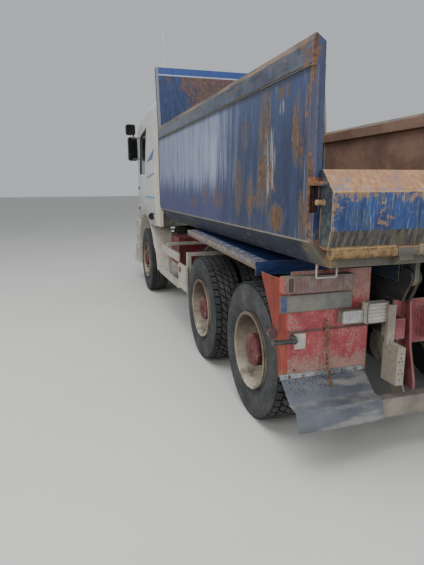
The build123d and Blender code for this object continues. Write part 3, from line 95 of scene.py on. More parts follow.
def set_camera():
    """Level forward direction turned right by yaw, tipped down by pitch and rolled about itself."""
    level = Vector((cos(yaw), -sin(yaw), 0))
    right = Vector((-sin(yaw), -cos(yaw), 0))
    up = Vector((0, 0, 1))
    ahead = level * cos(pitch) - up * sin(pitch)
    above = level * sin(pitch) + up * cos(pitch)
    across = right * cos(roll) + above * sin(roll)
    upright = above * cos(roll) - right * sin(roll)
    data = bpy.data.cameras.new("viewer")
    data.sensor_width = film
    data.lens = focal_px * film / photo_h
    data.clip_end = 200
    camera = bpy.data.objects.new("viewer", data)
    bpy.context.scene.collection.objects.link(camera)
    camera.matrix_world = Matrix.Translation(eye) @ Matrix((across, upright, -ahead)).transposed().to_4x4()
    bpy.context.scene.camera = camera


set_camera()


# Materials

def colour(code):
    """Linear colour of a screen colour written as six hexadecimal digits."""
    channels = [int(code[i:i + 2], 16) / 255 for i in (0, 2, 4)]
    return (*[c / 12.92 if c < 0.04045 else ((c + 0.055) / 1.055) ** 2.4 for c in channels], 1)


def tone(tint):
    """The colour of a code. A wire stays as it is."""
    return colour(tint) if isinstance(tint, str) else tint


class Wire:
    """One output of a finish's nodes. Arithmetic on it adds Math nodes."""

    def __init__(self, finish, socket):
        self.finish = finish
        self.socket = socket

    def maths(self, operation, a, b=0.0):
        """One Math node."""
        return self.finish.node("Math", {"operation": operation}, {0: a, 1: b})

    def __add__(self, other):
        return self.maths("ADD", self, other)

    def __sub__(self, other):
        return self.maths("SUBTRACT", self, other)

    def __rsub__(self, other):
        return self.maths("SUBTRACT", other, self)

    def __mul__(self, other):
        return self.maths("MULTIPLY", self, other)

    def __truediv__(self, other):
        return self.maths("DIVIDE", self, other)

    def __abs__(self):
        return self.maths("ABSOLUTE", self)

    __radd__ = __add__

    def most(self, other):
        """The larger of two values."""
        return self.maths("MAXIMUM", self, other)

    def least(self, other):
        """The smaller of two values."""
        return self.maths("MINIMUM", self, other)

    def rise(self, low, high):
        """Smooth step from 0 at low to 1 at high. With low above high it falls."""
        return self.finish.node("MapRange", {"interpolation_type": "SMOOTHSTEP"}, {0: self, 1: low, 2: high})

    def past(self, place, soft):
        """1 beyond a place, over a soft edge. With a negative edge it is 1 before the place."""
        return self.rise(place - soft, place + soft)

    def band(self, low, high, soft):
        """1 between low and high, with soft edges."""
        return self.past(low, soft) * self.past(high, -soft)


class Finish:
    """A procedural material: one method makes its nodes, and shade() ends it in one shader."""

    def __init__(self, name):
        self.material = bpy.data.materials.new(name)
        self.material.use_nodes = True
        self.tree = self.material.node_tree
        self.tree.nodes.clear()
        self.place = self.node("TexCoord", output="Object")
        axes = [self.node("SeparateXYZ", inputs={0: self.place}, output=i) for i in range(3)]
        self.x, self.y, self.z = axes

    def node(self, kind, settings=None, inputs=None, output=0):
        """A node of this kind, its settings made first, with values or wires on its inputs."""
        made = self.tree.nodes.new("ShaderNode" + kind)
        for name, value in (settings or {}).items():
            setattr(made, name, value)
        for name, value in (inputs or {}).items():
            if isinstance(value, Wire):
                self.tree.links.new(value.socket, made.inputs[name])
            else:
                made.inputs[name].default_value = value
        return Wire(self, made.outputs[output]) if len(made.outputs) else None

    def noise(self, scale, stretch=(1, 1, 1), detail=5, roughness=0.6, shift=0.0, lean=(0, 0, 0)):
        """Cloudy noise around 0.5, finer where stretch is larger, and turned by lean in degrees."""
        turn = [radians(angle) for angle in lean]
        place = self.node("Mapping", inputs={0: self.place, 1: (shift, shift, shift), 2: turn, 3: stretch})
        inputs = {"Vector": place, "Scale": scale, "Detail": detail, "Roughness": roughness}
        return self.node("TexNoise", inputs=inputs)

    def flecks(self, scale, share, **how):
        """Mask of about that share of the surface, where noise is lowest."""
        return self.noise(scale, **how).past(0.5 - (0.5 - share) * 0.42, -0.03)

    def blend(self, mask, under, over):
        """Colour that goes from under to over with the mask. A Mix node takes colours at inputs 6 and 7."""
        return self.node("Mix", {"data_type": "RGBA"}, {0: mask, 6: tone(under), 7: tone(over)}, output=2)

    def spot(self, x, z, half_x, half_z):
        """Soft oval at x, z on a side wall: 1 in its middle, 0 at one and a half times its half sizes."""
        across = (self.x - x) / half_x
        up = (self.z - z) / half_z
        return (across * across + up * up).rise(2.2, 0.0)

    def worn(self):
        """1 on rounded edges."""
        return self.node("Attribute", {"attribute_name": "worn"}, output="Fac")

    def shade(self, tint, roughness=0.6, metallic=0.0, bump=None, depth=0.002, **sockets):
        """Ends the material in one Principled shader."""
        inputs = {"Base Color": tone(tint), "Roughness": roughness, "Metallic": metallic, **sockets}
        if bump is not None:
            relief = {"Strength": 1.0, "Distance": depth, "Height": bump}
            inputs["Normal"] = self.node("Bump", inputs=relief, output="Normal")
        shader = self.node("BsdfPrincipled", inputs=inputs)
        self.node("OutputMaterial", inputs={0: shader})
        return self.material


def plate_paint():
    """Blank reflective plate in a grey holder, with a plain blue band at its left end."""
    f = Finish("plate_blank")
    cloud = f.noise(6.0, detail=7)
    tint = f.blend(cloud.rise(0.3, 0.7), "504f4b", "676660")
    tint = f.blend(f.y.past(plate_y + 0.213, 0.001), tint, "22355f")
    face = f.z.band(plate_z - plate_half_z, plate_z + plate_half_z, 0.002)
    face = face * f.y.band(plate_y - plate_half_y, plate_y + plate_half_y, 0.002)
    tint = f.blend(face, "4f4d48", tint)
    tint = f.blend(cloud.rise(0.5, 0.66) * 0.5, tint, "6f695e")
    return f.shade(tint, 0.45, bump=cloud, depth=0.001)


def dusty(finish, tint, amount, top, dust):
    """Road dust that lies in patches and thickens downwards from its top height."""
    low = finish.z.rise(top, 0.2)
    patch = finish.noise(5.0).rise(0.35, 0.7)
    return finish.blend((low * 0.7 + 0.3) * patch * amount, tint, dust)


# Where the side wall's paint turns from deep blue to chalk, and from navy to chalk above it
fade_x = -2.15
navy_z = 1.81
# Rust patches on the side wall: middle along X, middle in height, half length, half height, strength
rust_patches = (
    (-2.90, 2.16, 0.10, 0.24, 1.0),
    (-2.93, 1.86, 0.14, 0.24, 1.0),
    (-2.57, 2.15, 0.07, 0.13, 0.7),
    (-2.44, 1.79, 0.09, 0.22, 0.9),
    (-2.66, 1.72, 0.10, 0.14, 0.8),
    (-2.80, 1.71, 0.10, 0.09, 0.8),
    (-3.10, 1.59, 0.12, 0.09, 1.1),
    (-3.36, 2.09, 0.06, 0.19, 0.9),
    (-3.43, 1.93, 0.05, 0.12, 0.8),
    (-3.45, 1.60, 0.06, 0.20, 0.9),
    (-3.18, 2.33, 0.09, 0.05, 0.8),
    (-1.54, 1.71, 0.12, 0.11, 0.7),
    (-1.95, 1.68, 0.16, 0.12, 0.75),
    (-1.10, 1.62, 0.22, 0.07, 0.6),
)


def tub_side_paint():
    """Blue side paint: deep at the rear, chalky ahead of it, navy low down, rusted in upright patches."""
    f = Finish("tub_blue")
    streak = f.noise(2.4, stretch=(7, 7, 0.5), detail=6)
    fine = f.noise(9.0, stretch=(8, 8, 0.35), detail=6, shift=3.0)
    ragged = f.noise(4.0, stretch=(6, 6, 1.1), detail=9, roughness=0.72, shift=7.0)
    speck = f.noise(34.0, stretch=(1.4, 1.4, 0.7), detail=5, roughness=0.7, shift=1.0)
    blotch = f.noise(1.3, detail=5, shift=11.0)
    # Paint
    deep = f.blend(streak.rise(0.3, 0.7), "171f3c", "273455")
    deep = f.blend(f.z.rise(1.95, 2.42) * 0.45, deep, "414f74")
    navy = f.blend(fine.rise(0.35, 0.7), "1b2451", "333b6c")
    navy = f.blend(blotch.rise(0.48, 0.62) * 0.35, navy, "433f60")
    chalk = f.blend(fine.rise(0.3, 0.72), "566078", "878fa6")
    chalk = f.blend(streak.rise(0.38, 0.7) * 0.55, chalk, "929bb2")
    # Painted highlight: a soft bright patch over the chalky paint
    painted_glow = f.x.band(-1.95, -1.55, 0.45) * f.z.band(1.95, 2.15, 0.22)
    chalk = f.blend(painted_glow * (streak * 0.6 + 0.3), chalk, "9ba6ba")
    front = (f.x + (streak - 0.5) * 1.3).rise(fade_x - 0.30, fade_x + 0.36)
    upper = (f.z + (streak - 0.5) * 0.5).past(navy_z, 0.13)
    tint = f.blend(front * upper, f.blend(front, deep, navy), chalk)
    # Rust
    patch = None
    for x, z, half_x, half_z, strength in rust_patches:
        spot = f.spot(x, z, half_x, half_z) * strength
        patch = spot if patch is None else patch.most(spot)
    patch = patch.most(f.z.rise(1.62, 1.49) * 0.45).most(f.x.rise(-3.38, -3.47) * 0.55)
    broken = (ragged - 0.5) * 2.4 + (speck - 0.5) * 0.9 + patch * 0.62
    stain = (patch * 0.9 + (streak - 0.5) * 1.4).rise(0.30, 0.85)
    tint = f.blend(stain * 0.6, tint, "504a43")
    rust = broken.rise(0.46, 0.64)
    brown = f.blend(speck.rise(0.36, 0.62), "3a2a1f", f.blend(ragged.rise(0.42, 0.6), "4e3a2a", "785535"))
    tint = f.blend(rust * 0.92, tint, brown)
    # Bare flaked steel beside the largest patch, and one chipped spot
    flaked = f.spot(-3.0, 1.96, 0.09, 0.24).most(f.spot(-3.17, 2.23, 0.05, 0.06))
    flaked = (flaked * 0.5 + (fine - 0.5) * 2.2).rise(0.44, 0.54) * (1 - rust)
    tint = f.blend(flaked * 0.85, tint, "8f9090")
    # Short dark drips in the chalky paint
    drip = f.noise(13.0, stretch=(4, 4, 0.5), detail=2, shift=13.0)
    tint = f.blend(drip.rise(0.69, 0.73) * 0.7, tint, "202842")
    # Scratches upright and slanting
    scratch = f.noise(16.0, stretch=(6, 6, 0.2), detail=3, shift=5.0)
    tint = f.blend(scratch.rise(0.67, 0.74) * 0.45, tint, "93a0ba")
    tint = f.blend(scratch.rise(0.33, 0.26) * 0.6, tint, "141a33")
    slant = f.noise(2.0, stretch=(60, 1, 1.6), detail=2, roughness=0.5, lean=(0, 32, 0))
    tint = f.blend(slant.rise(0.68, 0.72) * f.x.rise(-2.3, -2.9) * 0.5, tint, "8e97ab")
    # Painted shade on the side wall just under the rail's overhang
    tint = f.blend(f.z.rise(rail_low - 0.05, rail_low - 0.012) * 0.6, tint, "1a2036")
    edge = f.z.band(knee_z - 0.006, knee_z + 0.004, 0.003)
    tint = f.blend(edge.most(f.worn() * fine.rise(0.35, 0.6)) * 0.7, tint, "8d8475")
    roughness = 0.40 + rust * 0.42 + front * upper * 0.18
    return f.shade(tint, roughness, bump=blotch * 0.9 - rust * 0.05 + fine * 0.03, depth=0.02)


def tub_rail_paint():
    """Grey-blue rail paint, rubbed to bare rusty steel along its top edges."""
    f = Finish("rail_blue")
    streak = f.noise(5.0, stretch=(1.5, 6, 2), detail=7)
    grain = f.noise(28.0, detail=5, shift=4.0)
    long = f.noise(3.0, stretch=(0.6, 2, 9), detail=6, shift=6.0)
    tint = f.blend(streak.rise(0.3, 0.7), "2f3747", "4c5463")
    tint = f.blend(f.x.rise(-2.6, 0.2) * 0.65, tint, "666b74")
    tint = f.blend(long.rise(0.52, 0.62) * 0.5, tint, "5d5348")
    tint = f.blend(f.flecks(6.0, 0.14, detail=8, shift=9.0) * 0.7, tint, "523f2f")
    top = (f.z + (grain - 0.5) * 0.05).rise(2.503, 2.514)
    wear = top.most(f.worn() * 0.8 * f.z.rise(2.44, 2.50)) * grain.rise(0.28, 0.5)
    tint = f.blend(wear * 0.9, tint, f.blend(long.rise(0.4, 0.6), "43352b", "6f5c49"))
    # Painted shadow line along the rail's lower edge, and rust at its rear end
    tint = f.blend(f.z.rise(2.4085, 2.4045), tint, "15171c")
    rear = f.x.rise(-3.30, -3.46) * f.noise(7.0, stretch=(1, 1, 0.6), shift=6.0).rise(0.42, 0.55)
    tint = f.blend(rear * 0.8, tint, f.blend(grain, "43342b", "8a6238"))
    tint = f.blend(grain.rise(0.66, 0.72) * 0.5, tint, "8f959c")
    return f.shade(tint, 0.55 + streak * 0.15, bump=streak * 0.6 + grain * 0.1, depth=0.01)


def post_paint():
    """Rear posts: blue rear face streaked with rust, and a bevel rusted bare."""
    f = Finish("post_blue")
    streak = f.noise(5.0, stretch=(3, 3, 0.7), detail=8, roughness=0.7)
    speck = f.noise(30.0, detail=6, roughness=0.7, shift=2.0)
    tint = f.blend(streak.rise(0.35, 0.65), "101a38", "243457")
    # Where rust gathers: the bevel, round the latch pocket, the foot and the top
    bevel = abs(f.y).rise(1.240, 1.252)
    pocket = f.z.band(1.60, 1.92, 0.06)
    foot = f.z.rise(1.62, 1.45)
    head = f.z.rise(2.22, 2.45)
    amount = bevel * 0.36 + pocket * 0.28 + foot * 0.25 + head * 0.25
    rust = (amount + (streak - 0.5) * 1.5 + (speck - 0.5) * 0.5).rise(0.34, 0.46)
    tint = f.blend(rust * 0.93, tint, f.blend(speck.rise(0.35, 0.62), "3e2c20", "6f4d31"))
    # Inside of the latch pocket, and the latch over it
    hole = f.x.rise(-3.5285, -3.5270) * f.z.band(1.6405, 1.7995, 0.001) * abs(f.y).band(1.10, 1.2485, 0.001)
    latch = f.z.band(1.7985, 1.8300, 0.002)
    tint = f.blend(hole.most(latch) * 0.9, tint, f.blend(speck.rise(0.35, 0.62), "55321d", "845638"))
    tint = f.blend(foot * speck.rise(0.4, 0.6) * 0.7, tint, "6f6757")
    tint = f.blend(f.worn() * speck.rise(0.35, 0.55) * 0.6, tint, "80694e")
    return f.shade(tint, 0.5 + rust * 0.3, bump=rust * -0.1 + speck * 0.15 + streak * 0.4, depth=0.006)


def tub_inner_steel():
    """Brown rusted inner steel, polished in vertical streaks by the loads."""
    f = Finish("inner_steel")
    cloud = f.noise(2.2, detail=8)
    grain = f.noise(40.0, detail=5, shift=3.0)
    tint = f.blend(cloud.rise(0.3, 0.7), "5c463d", "7d6455")
    tint = f.blend(f.flecks(9.0, 0.2, detail=7, shift=5.0) * 0.7, tint, "8a5a38")
    tint = f.blend(grain.rise(0.6, 0.75) * 0.5, tint, "9a8f86")
    return f.shade(tint, 0.75, 0.15, bump=grain * 0.4 + cloud, depth=0.008)


def bulkhead_paint():
    """Inside of the bulkhead: dark blue with rust, a bright blue band at its top and a pale line under it."""
    f = Finish("bulkhead_blue")
    ragged = f.noise(2.4, stretch=(1, 2.4, 1.1), detail=9, roughness=0.68)
    fine = f.noise(9.0, stretch=(4, 4, 0.7), detail=6, shift=2.0)
    speck = f.noise(26.0, detail=6, roughness=0.7, shift=5.0)
    # Less rust towards the left wall
    side = f.y.rise(0.55, 1.15)
    tint = f.blend(fine.rise(0.35, 0.7), "0f1f42", "1b335d")
    amount = 0.46 + f.z.rise(2.55, 3.05) * 0.22 - side * 0.42
    rust = (amount + (ragged - 0.5) * 1.7 + (speck - 0.5) * 0.4).rise(0.36, 0.50)
    tint = f.blend(rust * 0.9, tint, f.blend(speck.rise(0.35, 0.62), "352a28", "5a3e30"))
    tint = f.blend((ragged * 0.7 + fine * 0.3).rise(0.60, 0.68) * rust * 0.7, tint, "80532f")
    tint = f.blend(f.flecks(12.0, 0.06, shift=8.0) * side, tint, "7fa0b6")
    tint = f.blend(f.z.rise(3.225, 3.232), tint, f.blend(fine, "152f66", "20427f"))
    tint = f.blend(f.z.band(3.216, 3.232, 0.002), tint, "8e97a6")
    edge = abs(f.y).rise(1.225, 1.232)
    tint = f.blend(edge * 0.85, tint, f.blend(fine, "4f535b", "858785"))
    return f.shade(tint, 0.6, bump=ragged * 0.8 + fine * 0.1, depth=0.015)


def chamfer_grime():
    """Dark blue-grey underside of the tub, streaked with dried mud."""
    f = Finish("under_grime")
    cloud = f.noise(3.0, detail=7)
    grain = f.noise(30.0, shift=2.0)
    tint = f.blend(cloud.rise(0.3, 0.7), "191e2e", "2c3347")
    tint = f.blend(f.flecks(7.0, 0.25, stretch=(1, 3, 3), shift=4.0) * 0.5, tint, "545047")
    # More mud at the rear end
    rear = f.x.rise(-3.30, -3.42)
    tint = f.blend(rear * cloud.rise(0.36, 0.56) * 0.75, tint, "5c5849")
    tint = f.blend(rear * f.flecks(9.0, 0.3, shift=9.0) * 0.6, tint, "7a6440")
    tint = f.blend(f.z.rise(knee_z - 0.012, knee_z - 0.002) * grain.rise(0.25, 0.5) * 0.8, tint, "a89a82")
    tint = f.blend(f.worn() * 0.6, tint, "8b7d68")
    return f.shade(tint, 0.8, bump=cloud + grain * 0.2, depth=0.006)


def tailgate_paint():
    """Worn tan top slope with blue flakes, scratched blue face, muddy lower slope and ochre hinge barrels."""
    f = Finish("tailgate_blue")
    slope_z = 1.757
    face_z = 1.551
    barrel_z = 1.461
    end_y = 1.194
    pin_y = 1.198
    streak = f.noise(4.0, stretch=(3, 5, 0.9), detail=8, roughness=0.68)
    fine = f.noise(16.0, stretch=(3, 5, 0.7), detail=7, shift=3.0)
    blotch = f.noise(5.0, stretch=(1, 1.2, 1.5), detail=9, roughness=0.7, shift=2.0)
    speck = f.noise(30.0, detail=6, roughness=0.7, shift=6.0)
    leaning = f.noise(6.0, stretch=(1, 9, 1.4), roughness=0.65, lean=(-38, 0, 0))
    blue = f.blend(streak.rise(0.35, 0.65), "0f2450", "22417a")
    blue = f.blend(((blotch - 0.5) + (fine - 0.5) * 0.8).rise(0.04, 0.14) * 0.7, blue, "33434c")
    bare = ((blotch - 0.5) * -1.8 + (speck - 0.5) * 1.2 + f.z.rise(1.66, 1.76) * 0.22).rise(0.13, 0.24)
    blue = f.blend(bare * 0.9, blue, f.blend(speck, "5f4b37", "8f7150"))
    blue = f.blend(leaning.rise(0.66, 0.71) * 0.8, blue, "a9a28d")
    thin = f.noise(22.0, stretch=(3, 5, 0.35), detail=6, roughness=0.65, shift=8.0)
    blue = f.blend(thin.rise(0.57, 0.66) * 0.7, blue, "8b9689")
    blue = f.blend(fine.rise(0.64, 0.72) * 0.6, blue, "8d9aa8")
    tan = f.blend(speck.rise(0.36, 0.64), "805f45", "a8825d")
    tan = f.blend(blotch.rise(0.40, 0.60) * 0.6, tan, "8d6651")
    flake = ((blotch - 0.5) * 1.8 + (speck - 0.5) * 1.5 + f.z.rise(1.80, 1.76) * 0.16).rise(0.13, 0.24)
    tan = f.blend(flake * 0.8, tan, "495f80")
    mud = f.blend(leaning.rise(0.40, 0.66), "1d1e1f", "575146")
    mud = f.blend(blotch.rise(0.50, 0.6) * 0.7, mud, "463f34")
    mud = f.blend((leaning * 0.6 + speck * 0.4).rise(0.44, 0.38) * 0.75, mud, "1f3863")
    ochre = f.blend(speck.rise(0.38, 0.62), "5a452a", "8b7046")
    ochre = f.blend(blotch.rise(0.50, 0.60) * 0.7, ochre, "453a2c")
    ochre = f.blend(abs(f.y).rise(0.76, 0.72) * 0.9, ochre, f.blend(fine, "5a5346", "857b68"))
    tint = f.blend(f.z.past(slope_z, 0.0015), blue, tan)
    crease = f.z.band(slope_z - 0.0050, slope_z + 0.0025, 0.002)
    tint = f.blend(crease * speck.rise(0.35, 0.5) * 0.9, tint, "b5823f")
    tint = f.blend(f.z.past(face_z, -0.0015), tint, mud)
    tint = f.blend(f.z.past(barrel_z, -0.002), tint, ochre)
    end = abs(f.y).past(end_y, 0.0005) * f.z.rise(barrel_z + 0.002, barrel_z + 0.009)
    tint = f.blend(end, tint, f.blend((blotch * 0.5 + speck * 0.5).rise(0.42, 0.58), "1f2939", "4c524b"))
    tint = f.blend(abs(f.y).past(pin_y, 0.001), tint, f.blend(speck, "6b5238", "b09067"))
    tint = f.blend(f.worn() * fine.rise(0.3, 0.5) * 0.8, tint, "a08661")
    return f.shade(tint, 0.6 + streak * 0.12, bump=streak * 0.7 + speck * 0.2 - bare * 0.05, depth=0.012)


def splash_paint():
    """Orange-red flange and pink-red panel of a mud guard, speckled with grey spray."""
    f = Finish("guard_red")
    streak = f.noise(4.0, stretch=(4, 4, 0.6), detail=8, roughness=0.7)
    cloud = f.noise(5.0, stretch=(1, 1, 0.8), detail=8, roughness=0.68, shift=5.0)
    spray = f.noise(75.0, detail=4, roughness=0.7, shift=3.0)
    flange = abs(f.y).rise(1.203, 1.215)
    panel = f.blend(cloud.rise(0.35, 0.65), "7c3036", "a5474d")
    side = f.blend(streak.rise(0.35, 0.65), "5f221b", "843726")
    tint = f.blend(flange, panel, side)
    low = f.z.rise(0.74, 0.56)
    top = f.z.rise(1.02, 1.12)
    cake = (cloud - 0.5) * 1.7 + (spray - 0.5) * 1.7 + low * 0.40 + top * 0.20 + 0.08 - flange * 0.55
    cake = cake.rise(0.06, 0.34)
    tint = f.blend(cake * 0.66, tint, f.blend(spray, "5f594f", "9a9384"))
    # Painted shadow under the panel's fold
    rib = f.z.band(0.856, 0.874, 0.003) * (1 - flange)
    tint = f.blend(rib * 0.8, tint, "3a2c2b")
    rusty = (flange * 0.2 + (streak - 0.5) * 1.6 + f.z.rise(0.62, 0.54) * 0.3).rise(0.34, 0.44)
    tint = f.blend(rusty * 0.75, tint, f.blend(spray, "4f3527", "8a6a4c"))
    tint = f.blend(f.worn() * spray.rise(0.35, 0.5) * 0.6, tint, "a0917d")
    return f.shade(tint, 0.72, bump=cake * 0.3 + spray * 0.3, depth=0.003)


def red_steel():
    """Dark red beam paint under grey dust. The hangers and folded steps beside it are bare grey steel."""
    f = Finish("beam_red")
    cloud = f.noise(4.0, detail=8, roughness=0.68)
    spray = f.noise(60.0, detail=5, roughness=0.7, shift=3.0)
    tint = f.blend(cloud.rise(0.3, 0.7), "662f32", "925154")
    grey = abs(f.y).rise(0.484, 0.488)
    tint = f.blend(grey, tint, f.blend(cloud.rise(0.35, 0.65), "6e675d", "938b7e"))
    cake = ((cloud - 0.5) * 1.4 + (spray - 0.5) * 1.3).rise(0.06, 0.26)
    tint = f.blend(cake * 0.6, tint, f.blend(spray, "57514a", "7b7368"))
    tint = f.blend(f.worn() * 0.6, tint, "9c9182")
    return f.shade(tint, 0.72, bump=cake * 0.3 + spray * 0.3, depth=0.003)


def fender_paint():
    """Tandem fender: pale worn strip along its outer edge over a rusty lip, navy top and closing plate."""
    f = Finish("fender_blue")
    wear = f.noise(6.0, stretch=(2.5, 1, 5), detail=8, roughness=0.68)
    speck = f.noise(30.0, detail=6, roughness=0.7, shift=3.0)
    navy = f.blend(wear.rise(0.35, 0.65), "101d44", "243a6c")
    navy = f.blend(speck.rise(0.58, 0.7) * 0.5, navy, "5d5b58")
    strip = f.blend(wear.rise(0.40, 0.60), "4a5a86", "a3abb8")
    strip = f.blend(((wear - 0.5) * 1.4 + (speck - 0.5) * 0.8).rise(0.10, 0.22), strip, "a7a8a6")
    strip = f.blend(f.x.rise(-1.7, -2.75) * 0.4, strip, "3f527a")
    brown = f.blend(speck.rise(0.4, 0.6), "4e4238", "7d6f60")
    worn = (abs(f.y).rise(1.200, 1.226) * 0.42 + (wear - 0.5) * 1.3 + (speck - 0.5) * 0.7).rise(0.20, 0.32)
    strip = f.blend(worn * 0.85, strip, brown)
    # The strip ends at the closing plate behind the rear wheel
    outer = abs(f.y).rise(1.145, 1.152) * f.x.rise(-2.755, -2.745)
    tint = f.blend(outer, navy, strip)
    lip = f.z - f.x * fender_slope + (wear - 0.5) * 0.02
    lip = lip.rise(1.316, 1.306) * abs(f.y).rise(1.238, 1.243)
    tint = f.blend(lip * speck.rise(0.34, 0.48) * 0.9, tint, f.blend(speck, "4b382b", "75604a"))
    tint = f.blend(f.worn() * speck.rise(0.3, 0.5) * 0.6, tint, "85796a")
    return f.shade(tint, 0.55, bump=wear + speck * 0.2, depth=0.004)


def cab_paint():
    """Off-white cab paint with two blue stripes and a blue wedge on each side, dusty low down."""
    f = Finish("cab_white")
    cloud = f.noise(1.4, detail=7)
    grain = f.noise(18.0, stretch=(1, 1, 0.4), detail=6, shift=3.0)
    run = f.noise(4.0, stretch=(4, 4, 0.4), detail=6, shift=8.0)
    tint = f.blend(cloud.rise(0.3, 0.7), "a9aba9", "c2c1bb")
    side = abs(f.y).past(1.05, 0.01)
    # Stripes: the upper one falls forwards, the lower one is level
    stripe_x = 1.28
    upper = (f.z - 1.98 + (f.x - 1.25) * 0.0845).band(-0.014, 0.014, 0.002) * f.x.band(stripe_x, 1.96, 0.004)
    lower = (f.z - 1.61).band(-0.018, 0.018, 0.002) * f.x.band(stripe_x, 2.33, 0.004)
    # Distances inwards from the wedge's lower, upper and rear edges
    over = f.z - 2.19 + (f.x - 1.51) * 0.055
    under = 2.35 - f.z - (f.x - 1.44) * 0.306
    ahead = f.x - 1.566 + (f.z - 2.15) * 0.93
    wedge = over.past(0, 0.004) * under.past(0, 0.004) * ahead.past(0, 0.004)
    tint = f.blend(side * upper, tint, "2f6793")
    tint = f.blend(side * lower, tint, "5f92b5")
    tint = f.blend(side * wedge, tint, "1f4f88")
    grime = ((cloud - 0.5) * 0.8 + (run - 0.5) + f.z.rise(1.9, 1.1) * 0.5).rise(0.05, 0.6)
    tint = f.blend(grime * 0.6, tint, "716a5b")
    tint = f.blend(f.z.rise(1.45, 1.18) * grain.rise(0.38, 0.62) * 0.6, tint, "6f685b")
    # Painted shade: black round hole behind the corner lamp
    hole = (f.x - 1.405) * (f.x - 1.405) + (f.z - 1.32) * (f.z - 1.32)
    tint = f.blend(hole.rise(0.0013, 0.0010) * side, tint, "1d1f22")
    tint = f.blend(f.worn() * grain.rise(0.4, 0.6) * 0.4, tint, "6f6a60")
    return f.shade(tint, 0.42 + grain * 0.15, bump=cloud, depth=0.003, **{"Coat Weight": 0.2})


def plain_paint(name, dark, light, roughness=0.55, dust=0.5, metallic=0.0, top=1.3, dust_tint="8f897d"):
    """Worn paint or metal of two tones under road dust."""
    f = Finish(name)
    cloud = f.noise(3.5, detail=6)
    grain = f.noise(26.0, detail=5, shift=3.0)
    tint = f.blend((cloud * 0.6 + grain * 0.4).rise(0.35, 0.65), dark, light)
    tint = dusty(f, tint, dust, top, dust_tint)
    tint = f.blend(f.worn() * grain.rise(0.35, 0.6) * 0.5, tint, "8a8378")
    return f.shade(tint, roughness + grain * 0.15, metallic, bump=cloud * 0.5 + grain * 0.3, depth=0.003)


def tyre_rubber():
    """Dark dusty rubber, with painted shade in the tread's grooves and brown dust on its blocks."""
    f = Finish("tyre_rubber")
    cloud = f.noise(5.0, detail=7)
    grain = f.noise(60.0, detail=5, shift=2.0)
    tint = f.blend(cloud.rise(0.3, 0.7), "1f2124", "37393b")
    tint = f.blend(grain.rise(0.5, 0.72) * 0.5, tint, "5d5a54")
    tint = f.blend(cloud.rise(0.52, 0.72) * 0.45, tint, "55524b")
    # Squared distance to the nearest axle
    away = None
    for x in axles_x:
        squared = (f.x - x) * (f.x - x) + (f.z - axle_z) * (f.z - axle_z)
        away = squared if away is None else away.least(squared)

    def between(start, end):
        """0 at the start depth under the tread's face and 1 at the end depth."""
        return away.rise((tyre_r - start) ** 2, (tyre_r - end) ** 2)

    # Painted shade: near black at the bottom of the tread's grooves
    groove = between(0.0035, 0.0070) * between(0.024, 0.020)
    tint = f.blend(groove, tint, "0e0f11")
    face = between(0.002, 0.0005)
    tint = f.blend(face * grain.rise(0.38, 0.6) * 0.5, tint, "5a5852")
    return f.shade(tint, 0.85, bump=grain + cloud * 0.6, depth=0.0015)


def rim_paint():
    """Cream wheel paint, brown with brake dust and rust, with painted shade on its upper part and painted
    light low down.
    """
    f = Finish("rim_cream")
    cloud = f.noise(5.0, detail=8, roughness=0.68)
    speck = f.noise(40.0, detail=6, roughness=0.7, shift=2.0)
    tint = f.blend(cloud.rise(0.32, 0.68), "635a4e", "968c7c")
    # Painted shade: darker brown over the rim's upper part
    tint = f.blend(f.z.rise(0.50, 0.80) * 0.7, tint, "41342a")
    rust = ((cloud - 0.5) * 1.5 + (speck - 0.5) * 1.0 + f.worn() * 0.35).rise(0.22, 0.34)
    tint = f.blend(rust * 0.8, tint, f.blend(speck, "47301f", "7d5937"))
    # Painted light: bright cream patches on the rim's lower part
    tint = f.blend(f.z.rise(0.42, 0.25) * cloud.rise(0.42, 0.56) * (1 - rust) * 0.6, tint, "beb5a4")
    return f.shade(tint, 0.6, bump=speck * 0.3 + cloud, depth=0.002)


def hub_paint():
    """Dusty dark red hub paint."""
    f = Finish("hub_red")
    cloud = f.noise(9.0, detail=8, roughness=0.68)
    grain = f.noise(60.0, detail=5, shift=2.0)
    tint = f.blend(cloud.rise(0.3, 0.7), "3d1418", "682a2e")
    tint = f.blend(((cloud - 0.5) + (grain - 0.5)).rise(0.0, 0.2) * 0.6, tint, "6f6457")
    return f.shade(tint, 0.7, bump=grain * 0.5 + cloud, depth=0.002)


def flap_rubber():
    """Grey rubber sheet dulled by dried spray, dark and pitted under its silver clamp strip."""
    f = Finish("flap_grey")
    cloud = f.noise(3.0, stretch=(1, 1, 1.5), detail=7)
    spray = f.noise(70.0, detail=5, roughness=0.7, shift=2.0)
    tint = f.blend(cloud.rise(0.3, 0.7), "43474e", "5c6067")
    tint = f.blend(f.z.rise(0.42, 0.54) * spray.rise(0.48, 0.56) * 0.7, tint, "26292e")
    tint = f.blend(f.noise(4.0, stretch=(1, 0.5, 3), shift=6.0).rise(0.5, 0.64) * 0.5, tint, "8b887f")
    clamp = f.x.rise(-3.2430, -3.2415) * f.z.rise(0.5435, 0.5445)
    tint = f.blend(clamp, tint, f.blend((spray * 0.5 + cloud * 0.5).rise(0.4, 0.6), "3b4048", "8c9095"))
    return f.shade(tint, 0.8, bump=spray * 0.3 + cloud * 2, depth=0.004)


def aluminium():
    """Dull aluminium planks with brushed lines and dried dirt."""
    f = Finish("dull_aluminium")
    brush = f.noise(12.0, stretch=(0.3, 1, 9), detail=5)
    cloud = f.noise(4.0, detail=6, shift=2.0)
    tint = f.blend(brush.rise(0.3, 0.7), "9b978b", "c3beb0")
    tint = f.blend(cloud.rise(0.5, 0.7) * 0.7, tint, "6f695c")
    return f.shade(tint, 0.55, 0.45, bump=brush * 0.4 + cloud, depth=0.002)


